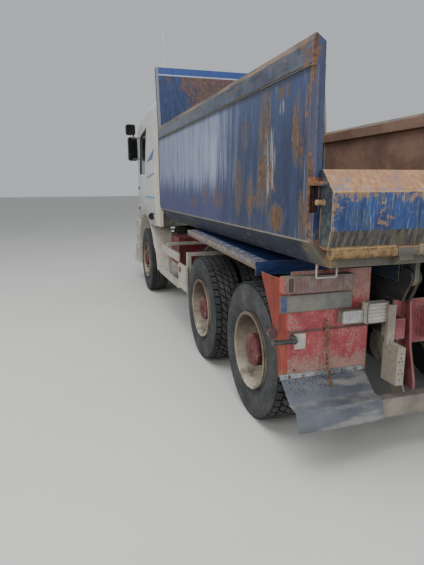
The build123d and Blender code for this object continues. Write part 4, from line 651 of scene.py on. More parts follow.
def ground_rod():
    """Ground steel of the hoist stages with a film of oil and dust."""
    f = Finish("ground_steel")
    ring = f.noise(30.0, stretch=(0.3, 0.3, 3), detail=4)
    return f.shade(f.blend(ring, "8e9194", "b4b6b8"), 0.28 + ring * 0.15, 0.9, bump=ring, depth=0.0005)


def window_glass():
    """Dark tinted glass under a film of dust."""
    f = Finish("window_glass")
    film = f.noise(5.0, detail=6)
    tint = f.blend(film.rise(0.45, 0.75) * 0.4, "0d1418", "4a5052")
    return f.shade(tint, 0.06 + film * 0.1, Alpha=0.82, bump=film, depth=0.0005)


def lens(name, dark, light, dust):
    """Ribbed coloured lamp lens under dust."""
    f = Finish(name)
    rib = f.node("TexWave", {"bands_direction": "Y"}, {"Vector": f.place, "Scale": 30.0, "Distortion": 0.0})
    film = f.noise(14.0, detail=6)
    tint = f.blend(rib, dark, light)
    tint = f.blend(film.rise(0.35, 0.65) * dust, tint, "6f665c")
    return f.shade(tint, 0.3 + film * 0.3, bump=rib, depth=0.002, **{"Coat Weight": 0.5})


def worn_steel():
    """Bare rusty steel of chains, hooks and pins."""
    f = Finish("worn_steel")
    cloud = f.noise(20.0, detail=7)
    tint = f.blend(cloud.rise(0.35, 0.65), "59412f", "8d7258")
    tint = f.blend(f.worn() * 0.5, tint, "b4a48e")
    return f.shade(tint, 0.65, 0.5, bump=cloud, depth=0.002)


def mirror_glass():
    """Silvered glass under a patchy film of dust."""
    f = Finish("mirror_glass")
    film = f.noise(12.0, detail=6)
    tint = f.blend(film.rise(0.5, 0.8) * 0.4, "15181b", "3d3e3c")
    return f.shade(tint, 0.08 + film * 0.2, 0.5, bump=film, depth=0.0004)


def cloth_seat():
    """Grey woven seat cloth with sheen."""
    f = Finish("seat_cloth")
    weave = f.node("TexChecker", inputs={"Vector": f.place, "Scale": 160.0}, output="Fac")
    cloud = f.noise(6.0)
    tint = f.blend(weave, "3a3d42", "4d5158")
    tint = f.blend(cloud.rise(0.5, 0.7) * 0.4, tint, "5e5a54")
    return f.shade(tint, 0.9, bump=weave, depth=0.0008, **{"Sheen Weight": 0.3})


finishes = {
    "side": tub_side_paint(),
    "rail": tub_rail_paint(),
    "post": post_paint(),
    "inner": tub_inner_steel(),
    "bulkhead": bulkhead_paint(),
    "grime": chamfer_grime(),
    "gate": tailgate_paint(),
    "guard": splash_paint(),
    "beam": red_steel(),
    "fender": fender_paint(),
    "wall_back": plain_paint("bulkhead_back", "182748", "2b3e6a", 0.6, 0.45, top=3.4, dust_tint="5f5d5a"),
    "cab": cab_paint(),
    "liner": plain_paint("cab_liner", "1d1f23", "2b2d31", 0.8, 0.3),
    "fairing": plain_paint("fairing_beige", "b5ac9a", "cdc6b6", 0.5, 0.35, top=2.2),
    "wing": plain_paint("wing_white", "a7a295", "c4bfb2", 0.5, 0.5),
    "chassis": plain_paint("chassis_black", "15161a", "2b2a2b", 0.6, 0.55, dust_tint="5d574e"),
    "iron": plain_paint("cast_iron", "2a2725", "4a433c", 0.7, 0.6, 0.3, dust_tint="6a6358"),
    "red_box": plain_paint("box_red", "520e19", "741f2c", 0.5, 0.25),
    "plate": plate_paint(),
    "plastic": plain_paint("black_plastic", "191b1e", "2d3034", 0.5, 0.35),
    "grey": plain_paint("grey_zinc", "615d56", "837d73", 0.6, 0.6, 0.3),
    "pale_grey": plain_paint("pale_grey", "8b8980", "aeaca2", 0.6, 0.4),
    "bumper": plain_paint("bumper_white", "b4b4ae", "cfcec9", 0.45, 0.5),
    "tyre": tyre_rubber(),
    "rim": rim_paint(),
    "hub": hub_paint(),
    "flap": flap_rubber(),
    "aluminium": aluminium(),
    "rod": ground_rod(),
    "glass": window_glass(),
    "red_lens": lens("lens_red", "1f0306", "47090e", 0.08),
    "dusty_lens": lens("lens_dusty", "4d2c2e", "704848", 0.9),
    "amber_lens": lens("lens_amber", "7a1d05", "a8330b", 0.08),
    "clear_lens": lens("lens_clear", "8d9090", "b9bbb8", 0.5),
    "steel": worn_steel(),
    "cloth": cloth_seat(),
    "mirror": mirror_glass(),
}


# Meshes

class Shape:
    """Corner points and faces of one or more closed surfaces."""

    def __init__(self, points, faces):
        self.points = np.asarray(points, float).reshape(-1, 3)
        self.faces = faces

    def __add__(self, other):
        start = len(self.points)
        moved = [[i + start for i in face] for face in other.faces]
        return Shape(np.vstack((self.points, other.points)), self.faces + moved)

    def at(self, x=0.0, y=0.0, z=0.0):
        """Moved by x, y, z."""
        return Shape(self.points + (x, y, z), self.faces)

    def turned(self, degrees, axis):
        """Turned about X, Y or Z through the origin."""
        turn = np.array(Matrix.Rotation(radians(degrees), 3, axis))
        return Shape(self.points @ turn.T, self.faces)

    def other_side(self):
        """Mirror image across the truck's middle plane."""
        return Shape(self.points * (1, -1, 1), [face[::-1] for face in self.faces])

    def both(self):
        """The shape and its mirror image."""
        return self + self.other_side()


def together(shapes):
    """One shape made of several."""
    shapes = list(shapes)
    whole = shapes[0]
    for shape in shapes[1:]:
        whole = whole + shape
    return whole


def ring_of(shape, count, start=0.0):
    """Copies of a shape spaced evenly round the Y axis."""
    return together(shape.turned(start + 360 / count * i, "Y") for i in range(count))


def grid(points, wrap_u=False, wrap_v=False):
    """Quads over an array of points [u, v, 3], joined round where it wraps."""
    rows, columns = points.shape[:2]
    u = np.arange(rows if wrap_u else rows - 1)[:, None]
    v = np.arange(columns if wrap_v else columns - 1)[None, :]
    u_next = (u + 1) % rows
    v_next = (v + 1) % columns
    corners = (u * columns + v, u_next * columns + v, u_next * columns + v_next, u * columns + v_next)
    return Shape(points.reshape(-1, 3), np.stack(corners, -1).reshape(-1, 4).tolist())


def lathe(profile, steps=48):
    """Profile of (radius, place along Y) turned round the Y axis. Its ends meet the axis or each other."""
    profile = np.array(profile, float)
    closed = profile[0][0] > 1e-6
    angle = np.linspace(0, 2 * pi, steps, endpoint=False)[:, None]
    radius = profile[None, :, 0]
    along = np.broadcast_to(profile[None, :, 1], (steps, len(profile)))
    return grid(np.stack((radius * np.sin(angle), along, radius * np.cos(angle)), -1), True, closed)


def prism(outline, axis, low, high):
    """Flat outline pushed along an axis. Its two numbers are the other axes, in the order X, Y, Z."""
    outline = np.array(outline, float)
    count = len(outline)
    ends = [np.insert(outline, "XYZ".index(axis), place, axis=1) for place in (low, high)]
    sides = [[i, (i + 1) % count, count + (i + 1) % count, count + i] for i in range(count)]
    return Shape(np.vstack(ends), [list(range(count))[::-1], list(range(count, 2 * count))] + sides)


def block(x_low, x_high, y_low, y_high, z_low, z_high):
    """Box between two corners."""
    return prism(((x_low, y_low), (x_high, y_low), (x_high, y_high), (x_low, y_high)), "Z", z_low, z_high)


def tube(path, radius, steps=10, looped=False):
    """Round bar along a path of points. Each ring stands square to the path's local direction."""
    path = np.array(path, float)
    if looped:
        along = np.roll(path, -1, 0) - np.roll(path, 1, 0)
    else:
        along = np.gradient(path, axis=0)
    along /= np.linalg.norm(along, axis=1)[:, None]
    spare = np.eye(3)[np.argmin(np.abs(along).sum(0))]
    side = np.cross(along, spare)
    side /= np.linalg.norm(side, axis=1)[:, None]
    up = np.cross(side, along)
    angle = np.linspace(0, 2 * pi, steps, endpoint=False)
    ring = np.cos(angle)[None, :, None] * side[:, None] + np.sin(angle)[None, :, None] * up[:, None]
    shape = grid(path[:, None] + ring * radius, looped, True)
    if not looped:
        last = len(path) * steps
        shape.faces += [list(range(steps))[::-1], list(range(last - steps, last))]
    return shape


def bent(corners, radius):
    """Path through corner points with each inner corner rounded by a quadratic curve of that reach."""
    corners = [np.array(corner, float) for corner in corners]
    path = [corners[0]]
    share = np.linspace(0, 1, 5)[:, None]
    for before, corner, after in zip(corners, corners[1:], corners[2:]):
        start = corner + (before - corner) / np.linalg.norm(before - corner) * radius
        end = corner + (after - corner) / np.linalg.norm(after - corner) * radius
        path += list((1 - share) ** 2 * start + 2 * share * (1 - share) * corner + share ** 2 * end)
    return np.array(path + [corners[-1]])


def circle(u, v, radius, steps):
    """Outline of a circle about u, v, anticlockwise."""
    return [(u + radius * cos(a), v + radius * sin(a)) for a in np.linspace(0, 2 * pi, steps, endpoint=False)]


def disc(radius, thick, steps):
    """Flat disc standing on Y = 0."""
    return lathe(((0, 0), (radius, 0), (radius, thick), (0, thick)), steps)


def bolt(size, height, steps=6):
    """Hexagon head standing on Y = 0 and pointing along +Y, with a domed end."""
    return lathe(((0, 0), (size, 0), (size, height * 0.75), (size * 0.8, height), (0, height)), steps)


def dome(size, height, steps=14):
    """Round head standing on Y = 0 and pointing along +Y, rounded as an ellipse."""
    angle = np.linspace(0, pi / 2, 5)
    return lathe([(0, 0)] + list(zip(size * np.cos(angle), height * np.sin(angle))), steps)


def hoop(outline, thick, axis, low, high):
    """Flat band round an anticlockwise convex outline, moved out along the mean normal at each corner."""
    outline = np.array(outline, float)
    edge = np.roll(outline, -1, 0) - outline
    normal = np.stack((edge[:, 1], -edge[:, 0]), -1) / np.linalg.norm(edge, axis=1)[:, None]
    normal = normal + np.roll(normal, 1, 0)
    normal /= np.linalg.norm(normal, axis=1)[:, None]
    outer = outline + normal * thick
    rings = [np.insert(line, "XYZ".index(axis), place, axis=1)
             for line, place in ((outline, low), (outer, low), (outer, high), (outline, high))]
    return grid(np.stack(rings), True, True)


def rounded_box(low_u, high_u, low_v, high_v, radius, steps=4):
    """Outline of a rectangle with round corners, anticlockwise."""
    points = []
    for u, v, start in ((high_u, low_v, -90), (high_u, high_v, 0), (low_u, high_v, 90), (low_u, low_v, 180)):
        middle_u = u - radius if u == high_u else u + radius
        middle_v = v - radius if v == high_v else v + radius
        angle = np.radians(np.linspace(start, start + 90, steps))
        points += list(zip(middle_u + radius * np.cos(angle), middle_v + radius * np.sin(angle)))
    return points


def link(length, width, wire):
    """Chain link in the X-Z plane: two straight sides joined by half circles."""
    reach = (length - width) / 2
    bend = (width - wire) / 2
    angle = np.radians(np.linspace(0, 180, 6))
    top = np.stack((bend * np.cos(angle), 0 * angle, reach + bend * np.sin(angle)), -1)
    return tube(np.vstack((top, top * (-1, 1, -1))), wire / 2, 6, True)


def laid(path, node, axis, lift):
    """Path moved along X or Y onto the outside of a CAD node, as met from afar, and lifted off it."""
    mesh = frame["nodes"][node].data
    tree = BVHTree.FromPolygons([v.co for v in mesh.vertices], [f.vertices for f in mesh.polygons])
    moved = []
    for point in path:
        sign = 1 if axis == "X" or point[1] > 0 else -1
        inwards = Vector((-1, 0, 0)) if axis == "X" else Vector((0, -sign, 0))
        hit = tree.ray_cast(Vector(point) - inwards * 5, inwards)
        if hit[0] is not None:
            moved.append(hit[0] - inwards * lift)
    return np.array(moved)


def filled(corners, spacing, looped=True):
    """Points every so far along straight lines between corners."""
    corners = np.array(corners, float)
    ends = np.roll(corners, -1, 0) if looped else corners[1:]
    points = []
    for start, end in zip(corners, ends):
        count = max(1, int(np.linalg.norm(end - start) / spacing))
        points += list(start + (end - start) * (np.arange(count) / count)[:, None])
    return np.array(points if looped else points + [corners[-1]])


# Distances at which corners merge in own pieces and in CAD nodes, and angles in degrees from which edges are
# rounded and shaded as sharp
weld_gap = 1e-5
node_weld_gap = 2e-5
round_from = 28
sharp_from = 40


def cleaned(bm):
    """Merges corners that meet, drops faces with no area and turns all faces outwards."""
    bmesh.ops.remove_doubles(bm, verts=bm.verts, dist=weld_gap)
    bmesh.ops.dissolve_degenerate(bm, edges=bm.edges, dist=weld_gap / 10)
    bmesh.ops.recalc_face_normals(bm, faces=bm.faces)


def rounded(bm, width):
    """Rounds sharp edges and marks the new faces as worn."""
    worn = bm.faces.layers.float.new("worn")
    edges = [e for e in bm.edges if len(e.link_faces) == 2 and e.calc_face_angle(0) > radians(round_from)]
    made = bmesh.ops.bevel(bm, geom=edges, offset=width, segments=2, profile=0.6, affect="EDGES",
                           clamp_overlap=False)
    for face in made["faces"]:
        face[worn] = 1.0


def finished(name, bm, looks, body):
    """Object of a worked mesh, smooth between its sharp edges, riding on a CAD body."""
    mesh = bpy.data.meshes.new(name)
    bm.to_mesh(mesh)
    bm.free()
    for look in looks:
        mesh.materials.append(finishes[look])
    mesh.shade_smooth()
    mesh.set_sharp_from_angle(angle=radians(sharp_from))
    piece = bpy.data.objects.new(name, mesh)
    bpy.context.scene.collection.objects.link(piece)
    even = piece.modifiers.new("even_shading", "WEIGHTED_NORMAL")
    even.keep_sharp = True
    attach(piece, body)
    return piece


def put(name, shape, look, body, width=0.0):
    """New piece from a shape, with rounded edges where a width is given."""
    mesh = bpy.data.meshes.new("draft")
    mesh.from_pydata(shape.points.tolist(), [], shape.faces)
    bm = bmesh.new()
    bm.from_mesh(mesh)
    bpy.data.meshes.remove(mesh)
    cleaned(bm)
    if width:
        rounded(bm, width)
    return finished(name, bm, (look,), body)


def dressed(node, looks, width, zones):
    """A copy of a CAD node with rounded edges. zones picks each face's finish by its centre and normal."""
    bm = bmesh.new()
    bm.from_mesh(frame["nodes"][node].data)
    bmesh.ops.remove_doubles(bm, verts=bm.verts, dist=node_weld_gap)
    bmesh.ops.dissolve_limit(bm, angle_limit=radians(0.1), verts=bm.verts, edges=bm.edges)
    # A face with many corners can be cut into wrong triangles after the rounding, so it is cut up before it
    bmesh.ops.triangulate(bm, faces=[face for face in bm.faces if len(face.verts) > 4])
    if width:
        rounded(bm, width)
    for face in bm.faces:
        face.material_index = zones(face.calc_center_median(), face.normal) if zones else 0
    piece = finished("dressed_" + node, bm, looks, node_body[node])
    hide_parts(node)
    return piece


# Finishes by place on the larger CAD nodes

def tub_zone(centre, normal):
    """Side paint, rail paint, inner steel, underside grime or post paint."""
    side, rail, inner, grime, post = range(5)
    outward = normal.y * (1 if centre.y > 0 else -1)
    if centre.x < post_front_x and centre.z > knee_z and (normal.x < -0.3 or centre.x < post_rear_x):
        return post
    if centre.z > rail_low - 0.010:
        if normal.z < -0.7:
            return grime
        outside = outward > 0.1 or normal.z > 0.2 or centre.z > 2.5 or centre.x < -3.45
        return rail if outside else inner
    if abs(centre.y) > 1.2 and outward > 0.3 and centre.z > knee_z - 0.004:
        return side
    if centre.z < 1.44 or normal.z < -0.3 or (centre.z < knee_z and outward > 0.1):
        return grime
    return side if normal.x > 0.7 and centre.x > 0.5 else inner


def wall_zone(centre, normal):
    """Inside of the bulkhead or its outside."""
    return 0 if normal.x < -0.3 and centre.x < 0.72 else 1


def gate_zone(centre, normal):
    """Outer side of the tailgate or its inside."""
    return 1 if normal.x > 0.5 else 0


def cab_zone(centre, normal):
    """Cab paint, black as painted shade at the bottom of the grille's slots, or dark lining on the inner
    walls.
    """
    paint, black, lining = range(3)
    # Painted shade: black on the bottoms of the grille's slots
    if normal.x > 0.5 and abs(centre.y) < 0.71 and 1.27 < centre.z < 1.66 and 3.55 < centre.x < 3.632:
        return black
    inside = 1.36 < centre.x < 3.62 and abs(centre.y) < 1.17 and 1.20 < centre.z < 3.0
    inward = normal.x * (2.45 - centre.x) - normal.y * centre.y + normal.z * (2.0 - centre.z) > 0.15
    return lining if inside and inward else paint


def door_zone(centre, normal):
    """Dark lining on the inner side of a door, cab paint elsewhere."""
    return 1 if abs(centre.y) < 1.175 and normal.y * centre.y < -0.3 else 0


def rim_zone(centre, normal):
    """Hub red near the axle, wheel paint outside it."""
    axle_x = min(axles_x, key=lambda x: abs(centre.x - x))
    return 1 if ((centre.x - axle_x) ** 2 + (centre.z - axle_z) ** 2) ** 0.5 < hub_red_r else 0


def lamp_zone(centre, normal):
    """Amber end, dark red lens, grey housing, black arms, clear lens or dusty lens of the rear lamps."""
    amber, red, grey, black, clear, dusty = range(6)
    y = abs(centre.y)
    if centre.z > 1.13 and y < 1.29:
        if y > 1.25:
            return amber
        return dusty if normal.x < -0.5 else grey
    if centre.z > 0.86 and y > 1.29:
        return red if centre.x < -3.28 else black
    if 0.89 < centre.z < 1.0 and y < 0.87:
        return clear if normal.x < -0.5 else grey
    return black


# CAD node: finishes, width of its rounded edges, and the function that gives each face one of the finishes
looks_of = {
    "tub_body": (("side", "rail", "inner", "grime", "post"), 0.0015, tub_zone),
    "tub_front_wall": (("bulkhead", "wall_back"), 0.003, wall_zone),
    "tub_sills": (("grime",), 0.003, None),
    "tailgate": (("gate", "inner"), 0.003, gate_zone),
    "chassis_frame": (("chassis",), 0.0015, None),
    "tipper_subframe": (("chassis",), 0.0015, None),
    "front_axle_beam": (("iron",), 0.003, None),
    "front_springs": (("iron",), 0.0015, None),
    "bogie_springs": (("iron",), 0.0015, None),
    "drive_axles": (("iron",), 0.003, None),
    "propshafts": (("iron",), 0.0015, None),
    "engine_gearbox": (("iron",), 0.004, None),
    "fuel_tank": (("aluminium",), 0.003, None),
    "battery_box": (("red_box",), 0.004, None),
    "air_tanks": (("chassis",), 0.002, None),
    "exhaust_silencer": (("grey",), 0.004, None),
    "side_guards": (("aluminium",), 0.0015, None),
    "front_wings": (("wing",), 0.0015, None),
    "cab_steps": (("wing",), 0.0015, None),
    "front_bumper": (("bumper",), 0.003, None),
    "headlamps": (("clear_lens",), 0.003, None),
    "tandem_fenders": (("fender",), 0.0015, None),
    "rear_splash_guards": (("guard",), 0.0010, None),
    "mud_flaps": (("flap",), 0.0015, None),
    "under_run_bar": (("grey",), 0.0015, None),
    "tow_beam": (("beam",), 0.002, None),
    "rear_lamps": (
        ("amber_lens", "red_lens", "grey", "plastic", "clear_lens", "dusty_lens"), 0.0015, lamp_zone
    ),
    "number_plate": (("plate",), 0.001, None),
    "work_light": (("pale_grey",), 0.002, None),
    "hoist_barrel": (("chassis",), 0.002, None),
    "cab_shell": (("cab", "plastic", "liner"), 0.003, cab_zone),
    "windscreen": (("glass",), 0.0, None),
    "front_panel": (("cab",), 0.002, None),
    "cab_interior": (("plastic",), 0.004, None),
    "cab_fairings": (("fairing",), 0.004, None),
}
for stage in range(1, 6):
    looks_of["hoist_stage_%d" % stage] = (("rod",), 0.001, None)
for side in ("left", "right"):
    looks_of["cab_door_" + side] = (("cab", "liner"), 0.002, door_zone)
    looks_of["door_glass_" + side] = (("glass",), 0.0, None)
    looks_of["mirror_" + side] = (("plastic",), 0.004, None)
    looks_of["steering_knuckle_" + side] = (("iron",), 0.002, None)
    looks_of["front_rim_" + side] = (("rim", "hub"), 0.0015, rim_zone)
    for place in ("front", "rear"):
        looks_of["twin_rims_%s_%s" % (place, side)] = (("rim", "hub"), 0.0015, rim_zone)
for node, (looks, width, zones) in looks_of.items():
    dressed(node, looks, width, zones)


# Tyres

# Sidewall from the shoulder to the bead and round inside: radius, place across from the middle
sidewall = (
    (0.520, 0.137),
    (0.506, 0.1405),
    (0.500, 0.1395),
    (0.470, 0.1465),
    (0.430, 0.1500),
    (0.392, 0.1470),
    (0.388, 0.1485),
    (0.382, 0.1460),
    (0.350, 0.1350),
    (0.322, 0.1240),
    (0.306, 0.1215),
    (0.297, 0.1160),
    (0.297, 0.0900),
    (0.330, 0.0800),
)
# Tread columns from the middle outwards: place across, how far the cross grooves lean there as a share of the
# pitch, and whether the column lies in a groove all round
drive_columns = (
    (0.000, 0.00, 0),
    (0.024, 0.30, 0),
    (0.026, 0.30, 1),
    (0.032, 0.38, 1),
    (0.034, 0.38, 0),
    (0.056, 0.62, 0),
    (0.078, 0.90, 0),
    (0.080, 0.90, 1),
    (0.088, 0.50, 1),
    (0.090, 0.50, 0),
    (0.116, 0.56, 0),
    (0.131, 0.60, 0),
)
steer_columns = (
    (0.000, 0.00, 0),
    (0.019, 0.10, 0),
    (0.021, 0.10, 1),
    (0.029, 0.18, 1),
    (0.031, 0.18, 0),
    (0.068, 0.10, 0),
    (0.070, 0.10, 1),
    (0.078, 0.18, 1),
    (0.080, 0.18, 0),
    (0.108, 0.10, 0),
    (0.130, 0.10, 0),
)
# One pitch round the tyre: share of the pitch, and whether the cross groove's bottom is there
pitch_columns = ((0.00, 0), (0.05, 1), (0.17, 1), (0.22, 0), (0.48, 0), (0.75, 0))
tread_depth = 0.013
tread_half = 0.134
crown_drop = 0.004
# How far the cross grooves notch the first two points of the sidewall
shoulder_notches = (0.006, 0.004)


def tyre(columns, pitches, cross_depth):
    """Tyre about the Y axis. Round it, each pitch has a groove then a block. Across it, columns lean by their
    share of a pitch, and those in a groove all round lie at its bottom."""
    share, dip = np.array(pitch_columns).T
    angle = ((np.arange(pitches)[:, None] + share[None, :]) / pitches * 2 * pi).ravel()
    dips = np.tile(dip, pitches)[:, None]
    half = np.array(columns)
    tread = np.vstack((half[:0:-1] * (-1, -1, 1), half))
    across = tread[:, 0]
    crown = tyre_r - crown_drop * (across / tread_half) ** 2
    sunk = np.maximum(tread[None, :, 2], dips * cross_depth / tread_depth) * tread_depth
    radius = crown[None, :] - sunk
    lean = np.broadcast_to(tread[None, :, 1], radius.shape)
    wall = np.array(sidewall)
    notches = np.zeros(len(wall))
    notches[:2] = shoulder_notches
    shoulder = dips * notches[None, :]
    wall_r = np.broadcast_to(wall[None, :, 0], shoulder.shape) - shoulder * 0.6
    wall_y = np.broadcast_to(wall[None, :, 1], shoulder.shape) - shoulder
    edge_lean = np.full(wall_r.shape, half[-1][1])
    radius = np.hstack((wall_r[:, ::-1], radius, wall_r))
    place = np.hstack((-wall_y[:, ::-1], np.broadcast_to(across, (len(angle), len(across))), wall_y))
    turn = angle[:, None] + np.hstack((-edge_lean, lean, edge_lean)) * 2 * pi / pitches
    return grid(np.stack((radius * np.sin(turn), place, radius * np.cos(turn)), -1), True, True)


drive_tyre = tyre(drive_columns, pitches=46, cross_depth=tread_depth)
steer_tyre = tyre(steer_columns, pitches=60, cross_depth=0.004)
for side, sign in (("left", 1), ("right", -1)):
    single = steer_tyre.at(front_x, sign * front_y, axle_z)
    piece = put("grooved_tyre_front_" + side, single, "tyre", "front_wheel_" + side)
    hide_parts("front_tyre_" + side)
    for place, x in drive_x.items():
        end = "%s_%s" % (place, side)
        pair = together(drive_tyre.at(x, sign * y, axle_z) for y in twin_y)
        piece = put("block_tyres_" + end, pair, "tyre", "drive_wheel_" + end)
        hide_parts("twin_tyres_" + end)


# Wheel trim. Each piece is made on a wheel that stands at the origin with its outer side along +Y.

nut_circle = 0.150
drive_disc_y = -0.120
steer_disc_y = 0.106
steer_hub_y = 0.150
steer_hub_size = 0.100
# Drum and flange of a drive hub's outer end: radius, place across
hub_profile = (
    (0, -0.03),
    (0.128, -0.03),
    (0.128, 0.030),
    (0.118, 0.044),
    (0.118, 0.088),
    (0.126, 0.094),
    (0.126, 0.112),
    (0.100, 0.124),
    (0.060, 0.128),
    (0, 0.128),
)
# Rolled edge of a rim, just inside the tyre's bead: radius, place across
lip_profile = (
    (0.2975, 0.134),
    (0.3020, 0.143),
    (0.2990, 0.1495),
    (0.2900, 0.1500),
    (0.2790, 0.1445),
    (0.2790, 0.134),
)


def wheel_nuts(disc_y):
    """Ten nuts on washers, with the ends of their studs."""
    nut = bolt(0.0165, 0.026) + disc(0.021, 0.004, 12)
    stud = dome(0.007, 0.012, 8).at(y=0.024)
    return (ring_of(nut.at(z=nut_circle), 10) + ring_of(stud.at(z=nut_circle), 10)).at(y=disc_y)


def steer_hub():
    """Front hub's domed cap on a washer, with eight bolts round it."""
    cap = dome(steer_hub_size * 0.52, 0.022, 24) + disc(steer_hub_size * 0.62, 0.006, 24)
    bolts = ring_of(bolt(0.009, 0.011).at(z=steer_hub_size * 0.80), 8, start=22.5)
    return (cap + bolts).at(y=steer_hub_y)


def drive_hub():
    """Drive hub's outer end, almost out to the rim's plane, with bolts, ribs and a domed middle."""
    bolts = ring_of(bolt(0.0085, 0.010).at(y=0.110, z=0.108), 12, start=15)
    ribs = ring_of(block(-0.004, 0.004, 0.046, 0.090, 0.112, 0.127), 12)
    return lathe(hub_profile) + bolts + ribs + dome(0.030, 0.010, 20).at(y=0.127)


def valve(disc_y):
    """Bent valve stem beside the rim's well."""
    path = ((0.235, disc_y, 0.02), (0.245, disc_y + 0.03, 0.02), (0.262, disc_y + 0.045, 0.02))
    return tube(bent(path, 0.01), 0.004, 8)


drive_trim = (wheel_nuts(drive_disc_y), drive_hub(), lathe(lip_profile, 64), valve(drive_disc_y))
steer_nuts = wheel_nuts(steer_disc_y).turned(18, "Y")
steer_trim = (steer_nuts, steer_hub(), lathe(lip_profile, 64), valve(steer_disc_y))
trim_looks = (("nuts_", "steel"), ("hub_cap_", "hub"), ("rim_lip_", "rim"), ("valve_", "steel"))
for side in ("left", "right"):
    wheels = [("front_wheel_" + side, front_x, front_y, steer_trim)]
    for place, x in drive_x.items():
        wheels.append(("drive_wheel_%s_%s" % (place, side), x, twin_y[1], drive_trim))
    for body, x, y, trim in wheels:
        for (label, look), shape in zip(trim_looks, trim):
            shape = shape.at(x, y, axle_z)
            put(label + body, shape if side == "left" else shape.other_side(), look, body)


# Chains and hooks on the splash guards

chain_y = 0.940
chain_path = ((-3.246, chain_y, 0.905), (-3.260, chain_y - 0.004, 0.590), (-3.318, chain_y - 0.012, 0.490))
link_pitch = 0.030
hook_places = ((-3.222, 0.925), (-3.252, 0.925), (-3.256, 0.895), (-3.244, 0.886))


def chain():
    """Links strung every pitch along the path. Each second link is turned a quarter round it."""
    line = bent(chain_path, 0.06)
    steps = np.linalg.norm(np.diff(line, axis=0), axis=1)
    reached = np.concatenate(((0,), np.cumsum(steps)))
    places = np.arange(link_pitch / 2, reached[-1], link_pitch)
    centres = np.stack([np.interp(places, reached, line[:, i]) for i in range(3)], -1)
    lean = np.degrees(np.arctan2(np.gradient(centres[:, 0]), -np.gradient(centres[:, 2])))
    one = link(length=0.041, width=0.026, wire=0.008)
    pair = (one.turned(20, "Z"), one.turned(110, "Z"))
    return together(pair[i % 2].turned(-lean[i], "Y").at(*centre) for i, centre in enumerate(centres))


hook = tube(bent([(x, chain_y, z) for x, z in hook_places], 0.012), 0.006)
put("guard_chains", (chain() + hook).both(), "steel", "chassis")


# Bolts and screws

clamp_x = -3.236
clamp_z = 0.563
guard_x = -3.224
guard_places = ((0.70, 0.80), (0.70, 1.00), (1.16, 0.80), (1.16, 0.60), (0.92, 0.62), (1.17, 0.93))
plate_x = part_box("number_plate")[0].x


def backward(head, x, places):
    """Copies of a head that stand on the plane at x and point backwards, at places (y, z)."""
    return together(head.turned(90, "Z").at(x, y, z) for y, z in places)


clamp_bolts = backward(bolt(0.011, 0.009), clamp_x, [(y, clamp_z) for y in np.linspace(0.70, 1.20, 6)])
guard_bolts = backward(dome(0.010, 0.006), guard_x, guard_places)
put("guard_bolts", (clamp_bolts + guard_bolts).both(), "steel", "chassis")

fender_head = dome(0.009, 0.006).turned(90, "X")
fender_bolts = together(
    fender_head.at(x, fender_y, fender_z + fender_slope * x) for x in np.linspace(-2.70, -0.86, 19)
)
put("fender_bolts", fender_bolts.both(), "steel", "chassis")

plate_screws = backward(dome(0.006, 0.003, 10), plate_x, [(plate_y + away, plate_z) for away in (-0.2, 0.2)])
put("plate_screws", plate_screws, "steel", "chassis")


# Folded steps: punched collars round the holes on top, and black discs of painted shade for the openings in
# the rear face

step_y = 0.517
step_hole_x = -3.396
step_face_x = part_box("tow_beam")[0].x
step_top_z = 0.7615
hole_r = 0.0062
opening_trio = ((0, 0), (-0.013, -0.026), (0.013, -0.026))

hole_places = [(step_hole_x + 0.024 * i, step_y + away) for i in range(-2, 3) for away in (-0.010, 0.010)]
collars = together(
    hoop(circle(x, y, hole_r, 12), 0.003, "Z", step_top_z, step_top_z + 0.0085) for x, y in hole_places
)
put("step_collars", collars.both(), "pale_grey", "chassis")
opening_places = [(step_y + away, z + drop) for z in (0.694, 0.612) for away, drop in opening_trio]
# Painted shade: flat black domes stand in for the dark insides of the openings
hole_shade_discs = backward(dome(0.0065, 0.0012, 12), step_face_x, opening_places)
put("step_hole_shades", hole_shade_discs.both(), "plastic", "chassis")


# Loops of round bar that hang under the tub behind the tail lamps

loop_x = -3.32
loop_places = ((1.080, 1.437), (1.080, 1.230), (0.938, 1.230), (0.938, 1.437))
tub_loop = tube(bent([(loop_x, y, z) for y, z in loop_places], 0.012), 0.006, 8)
put("tub_loops", tub_loop.both(), "pale_grey", "tub")


# Zinc pads that carry the side lamps' arms

pad_x = -3.2275
pad = prism(rounded_box(1.085, 1.165, 0.745, 0.850, 0.008), "X", pad_x, pad_x + 0.004)
pad_bolts = backward(bolt(0.008, 0.006), pad_x, ((1.150, 0.760), (1.150, 0.835)))
put("arm_pads", (pad + pad_bolts).both(), "pale_grey", "chassis", 0.001)


# Ribs, lenses and frames of the rear lamps, bezel of the work light, and the side reflector

tail_x = -3.2865
tail_low = 1.139
tail_high = 1.235
reversing_x = -3.284
work_x = -3.322
reflector_place = (-0.33, 1.2355, 0.79)

ridge = block(tail_x - 0.003, tail_x, -0.0035, 0.0035, tail_low + 0.007, tail_high - 0.007)
ridges = together(ridge.at(y=y) for y in np.arange(0.872, 1.205, 0.019))
put("tail_lamp_ribs", ridges.both(), "dusty_lens", "chassis", 0.001)
stop_outline = rounded_box(1.218, 1.246, tail_low + 0.005, tail_high - 0.005, 0.010)
stop_lens = prism(stop_outline, "X", tail_x - 0.0075, tail_x + 0.0005)
put("stop_lamp_lenses", stop_lens.both(), "red_lens", "chassis", 0.0015)
frames = together(
    hoop(rounded_box(low, high, tail_low, tail_high, 0.008), 0.003, "X", tail_x - 0.004, tail_x + 0.002)
    for low, high in ((0.790, 0.858), (0.866, 1.210), (1.216, 1.248))
)
put("tail_lamp_frames", frames.both(), "grey", "chassis")
reversing_outline = rounded_box(0.704, 0.856, 0.908, 0.988, 0.008)
reversing = hoop(reversing_outline, 0.005, "X", reversing_x - 0.0095, reversing_x)
put("reversing_lamp_frames", reversing.both(), "grey", "chassis")
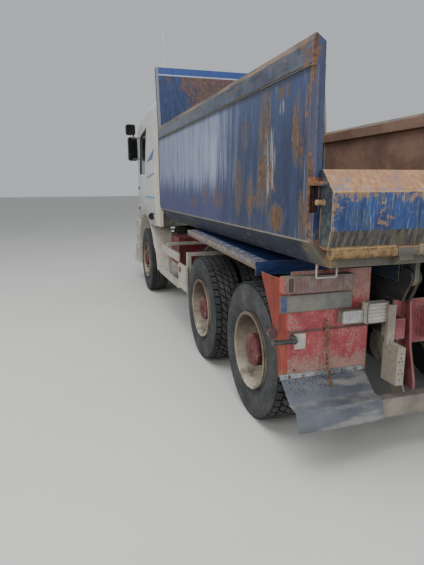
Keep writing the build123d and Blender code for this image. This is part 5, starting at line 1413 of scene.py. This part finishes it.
bezel = hoop(rounded_box(0.541, 0.695, 0.908, 1.036, 0.010), 0.005, "X", work_x - 0.0105, work_x)
screw_places = [(y, z) for y in (0.546, 0.690) for z in (0.913, 1.031)]
screws = backward(dome(0.005, 0.003, 10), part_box("work_light")[0].x, screw_places)
put("work_light_bezel", bezel + screws, "plate", "chassis")
reflector = dome(0.033, 0.008, 24) + disc(0.038, 0.007, 24).at(y=-0.004)
put("side_reflector", reflector.at(*reflector_place), "amber_lens", "chassis")


# Tanks

def straps(outline, places, width=0.045):
    """Steel straps round a tank's outline, each on a slightly wider strip of rubber."""
    steel = together(hoop(outline, 0.006, "X", x - width / 2, x + width / 2) for x in places)
    return steel + together(hoop(outline, 0.003, "X", x - width * 0.65, x + width * 0.65) for x in places)


# The fuel tank's box reaches inwards over its brackets
fuel_low, fuel_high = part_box("fuel_tank")
bracket_reach = 0.040
skin = 0.001
fuel_y = (fuel_low[1] + skin, fuel_high[1] - bracket_reach - skin)
fuel_outline = rounded_box(*fuel_y, fuel_low[2] + skin, fuel_high[2] - skin, 0.09, 7)
fuel_bands = (fuel_low[0] + 0.25, fuel_high[0] - 0.25)
put("fuel_tank_straps", straps(fuel_outline, fuel_bands), "grey", "chassis")

air_low, air_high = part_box("air_tanks")
air_r = 0.130
air_outline = circle(air_high[1] - air_r, air_low[2] + air_r, air_r - skin / 2, 30)
air_middles = (air_low[0] + 0.28, air_high[0] - 0.28)
air_bands = [x + away for x in air_middles for away in (-0.17, 0.17)]
put("air_tank_straps", straps(air_outline, air_bands, 0.03), "grey", "chassis")

cap_profile = ((0, 0), (0.052, 0), (0.052, 0.03), (0.046, 0.038), (0, 0.040))
cap_ribs = ring_of(block(-0.005, 0.005, 0.004, 0.032, 0.050, 0.056), 10)
cap_place = (fuel_high[0] - 0.18, fuel_low[1] * 0.7 + fuel_high[1] * 0.3, fuel_high[2] - 0.002)
filler = (lathe(cap_profile, 24) + cap_ribs).turned(90, "X").at(*cap_place)
put("filler_cap", filler, "plastic", "chassis")


# Round lamps on the cab's lower rear corners

# Cup from its foot to its lip and back to the lens: radius, place along its axis
cup_profile = (
    (0, -0.05),
    (0.030, -0.05),
    (0.050, -0.02),
    (0.056, 0.0),
    (0.056, 0.010),
    (0.048, 0.011),
    (0.045, 0.003),
    (0, 0.003),
)
corner_place = (1.42, 1.235, 1.328)
corner_turn = 53


def on_corners(shape):
    """A shape on both corners of the cab, turned backwards and outwards."""
    return shape.turned(corner_turn, "Z").at(*corner_place).both()


put("corner_lamp_cups", on_corners(lathe(cup_profile, 32)), "plastic", "cab")
corner_lens = dome(0.045, 0.007, 32).at(y=0.003)
put("corner_lamp_lenses", on_corners(corner_lens), "glass", "cab")


# Window seals, mirror glass and wipers

door_edge = ((2.19, 1.99), (3.14, 1.99), (3.175, 2.012), (2.972, 2.618), (2.192, 2.738))
screen_edge = ((-1.0, 1.915), (1.0, 1.915), (1.0, 2.15), (0.94, 2.70), (0, 2.72), (-0.94, 2.70), (-1.0, 2.15))
# Panes of a mirror: inner edge, lower edge, upper edge
mirror_panes = ((1.182, 2.700, 2.890), (1.152, 2.245, 2.668))
mirror_x = 3.163
# Start and end of each wiper's arm across the windscreen
wiper_arms = ((-0.62, -0.05), (0.10, 0.66))


def seal(corners, node, axis, share, lift, radius):
    """Round rubber seal just inside a pane's corners, laid on the pane."""
    loop = filled(corners, 0.05)
    centre = loop.mean(0)
    return tube(laid(centre + (loop - centre) * share, node, axis, lift), radius, 8, True)


def mirror_glass_pair():
    """Upper and lower glass of the left mirror."""
    panes = []
    for inner, low, high in mirror_panes:
        outline = rounded_box(inner + 0.010, inner + 0.165, low + 0.010, high - 0.010, 0.032)
        panes.append(prism(outline, "X", mirror_x - 0.0035, mirror_x))
    return together(panes)


def on_screen(start, end, spacing, lift, radius):
    """Round bar between two places (y, z), laid along the windscreen at a distance from it."""
    path = filled(((4, *start), (4, *end)), spacing, False)
    return tube(laid(path, "windscreen", "X", lift), radius, 8)


for side, sign in (("left", 1), ("right", -1)):
    corners = [(x, sign * 1.5, z) for x, z in door_edge]
    door_seal = seal(corners, "door_glass_" + side, "Y", share=0.985, lift=0.005, radius=0.011)
    put("window_seal_" + side, door_seal, "plastic", "door_" + side)
    glass = mirror_glass_pair()
    glass = glass if side == "left" else glass.other_side()
    put("mirror_glass_" + side, glass, "mirror", "door_" + side, 0.0008)

corners = [(4.0, y, z) for y, z in screen_edge]
screen_seal = seal(corners, "windscreen", "X", share=0.986, lift=0.004, radius=0.012)
put("windscreen_seal", screen_seal, "plastic", "cab")
wipers = []
for foot, tip in wiper_arms:
    wipers.append(on_screen((foot, 1.925), (tip, 2.06), 0.05, lift=0.024, radius=0.007))
    wipers.append(on_screen((tip - 0.36, 2.02), (tip + 0.20, 2.10), 0.04, lift=0.010, radius=0.008))
put("wipers", together(wipers), "plastic", "cab")


# Seats and steering wheel, seen through the glass

seat_y = 0.69
wheel_r = 0.21


def cushion(x_low, x_high, y_half, z_low, z_high, swell):
    """Stuffed cushion: its two faces swell from a shared edge by the root of a cosine each way."""
    place = np.linspace(-1, 1, 17)
    across, along = np.meshgrid(place, place, indexing="ij")
    bulge = np.cos(across * pi / 2) ** 0.5 * np.cos(along * pi / 2) ** 0.5
    rim = 1 - 0.06 * (np.abs(across) ** 6 * np.abs(along) ** 6)
    x = (x_low + x_high) / 2 + (x_high - x_low) / 2 * along * rim
    y = y_half * across * rim
    half = (z_high - z_low) / 2
    upper = grid(np.stack((x, y, z_low + half + (half + swell) * bulge), -1))
    lower = grid(np.stack((x, y, z_low + half - half * bulge), -1))
    return upper + Shape(lower.points, [face[::-1] for face in lower.faces])


for side, sign in (("left", 1), ("right", -1)):
    seat = cushion(-0.20, 0.24, 0.225, 0.0, 0.11, 0.015).at(2.36, sign * seat_y, 1.622)
    back = cushion(-0.26, 0.26, 0.215, 0.0, 0.09, 0.012).turned(90, "Y").at(2.150, sign * seat_y, 1.935)
    for label, pad in (("seat_cushion_", seat), ("seat_back_", back)):
        put(label + side, pad, "cloth", "cab")

grip = tube([(x, 0, z) for x, z in circle(0, 0, wheel_r, 32)], 0.014, 10, True)
spoke = block(-0.012, 0.012, -0.006, 0.006, 0.0, wheel_r - 0.005)
spokes = together(spoke.turned(degrees, "Y") for degrees in (90, 180, 270))
wheel = (grip + spokes + dome(0.05, 0.02)).turned(-65, "X").turned(90, "Z")
put("steering_wheel", wheel.at(2.93, seat_y, 1.93), "plastic", "cab")
column = tube(((2.94, seat_y, 1.92), (3.24, seat_y, 1.76)), 0.028, 12)
put("steering_column", column, "plastic", "cab")


# Floor, light and air

def stage_floor():
    """Pale floor with a faint mottle."""
    f = Finish("stage_floor")
    cloud = f.noise(0.6, detail=4)
    f.shade(f.blend(cloud, "b9b8b4", "c6c5c1"), 0.9)
    bpy.ops.mesh.primitive_plane_add(size=160)
    floor = bpy.context.object
    floor.name = "floor"
    floor.data.materials.append(f.material)


def lamp(name, place, target, size, power, tint=(1, 1, 1)):
    """Square area light aimed at a point."""
    data = bpy.data.lights.new(name, "AREA")
    data.size = size
    data.energy = power
    data.color = tint
    light = bpy.data.objects.new(name, data)
    light.location = place
    light.rotation_euler = (Vector(target) - Vector(place)).to_track_quat("-Z", "Y").to_euler()
    bpy.context.scene.collection.objects.link(light)


stage_floor()
lamp("sky_light", (-3, 3, 11), (-0.5, 0, 1), 9, 1350)
lamp("side_light", (-9, 9, 5), (-1, 0, 1.2), 5, 550, (1.0, 0.98, 0.95))
lamp("fill_light", (-12, -3, 3.5), (-2, 0, 1.0), 5, 320, (0.93, 0.96, 1.0))
world = bpy.data.worlds.new("air")
world.use_nodes = True
background = world.node_tree.nodes["Background"].inputs
background["Color"].default_value = (0.86, 0.90, 0.95, 1)
background["Strength"].default_value = 0.58
bpy.context.scene.world = world
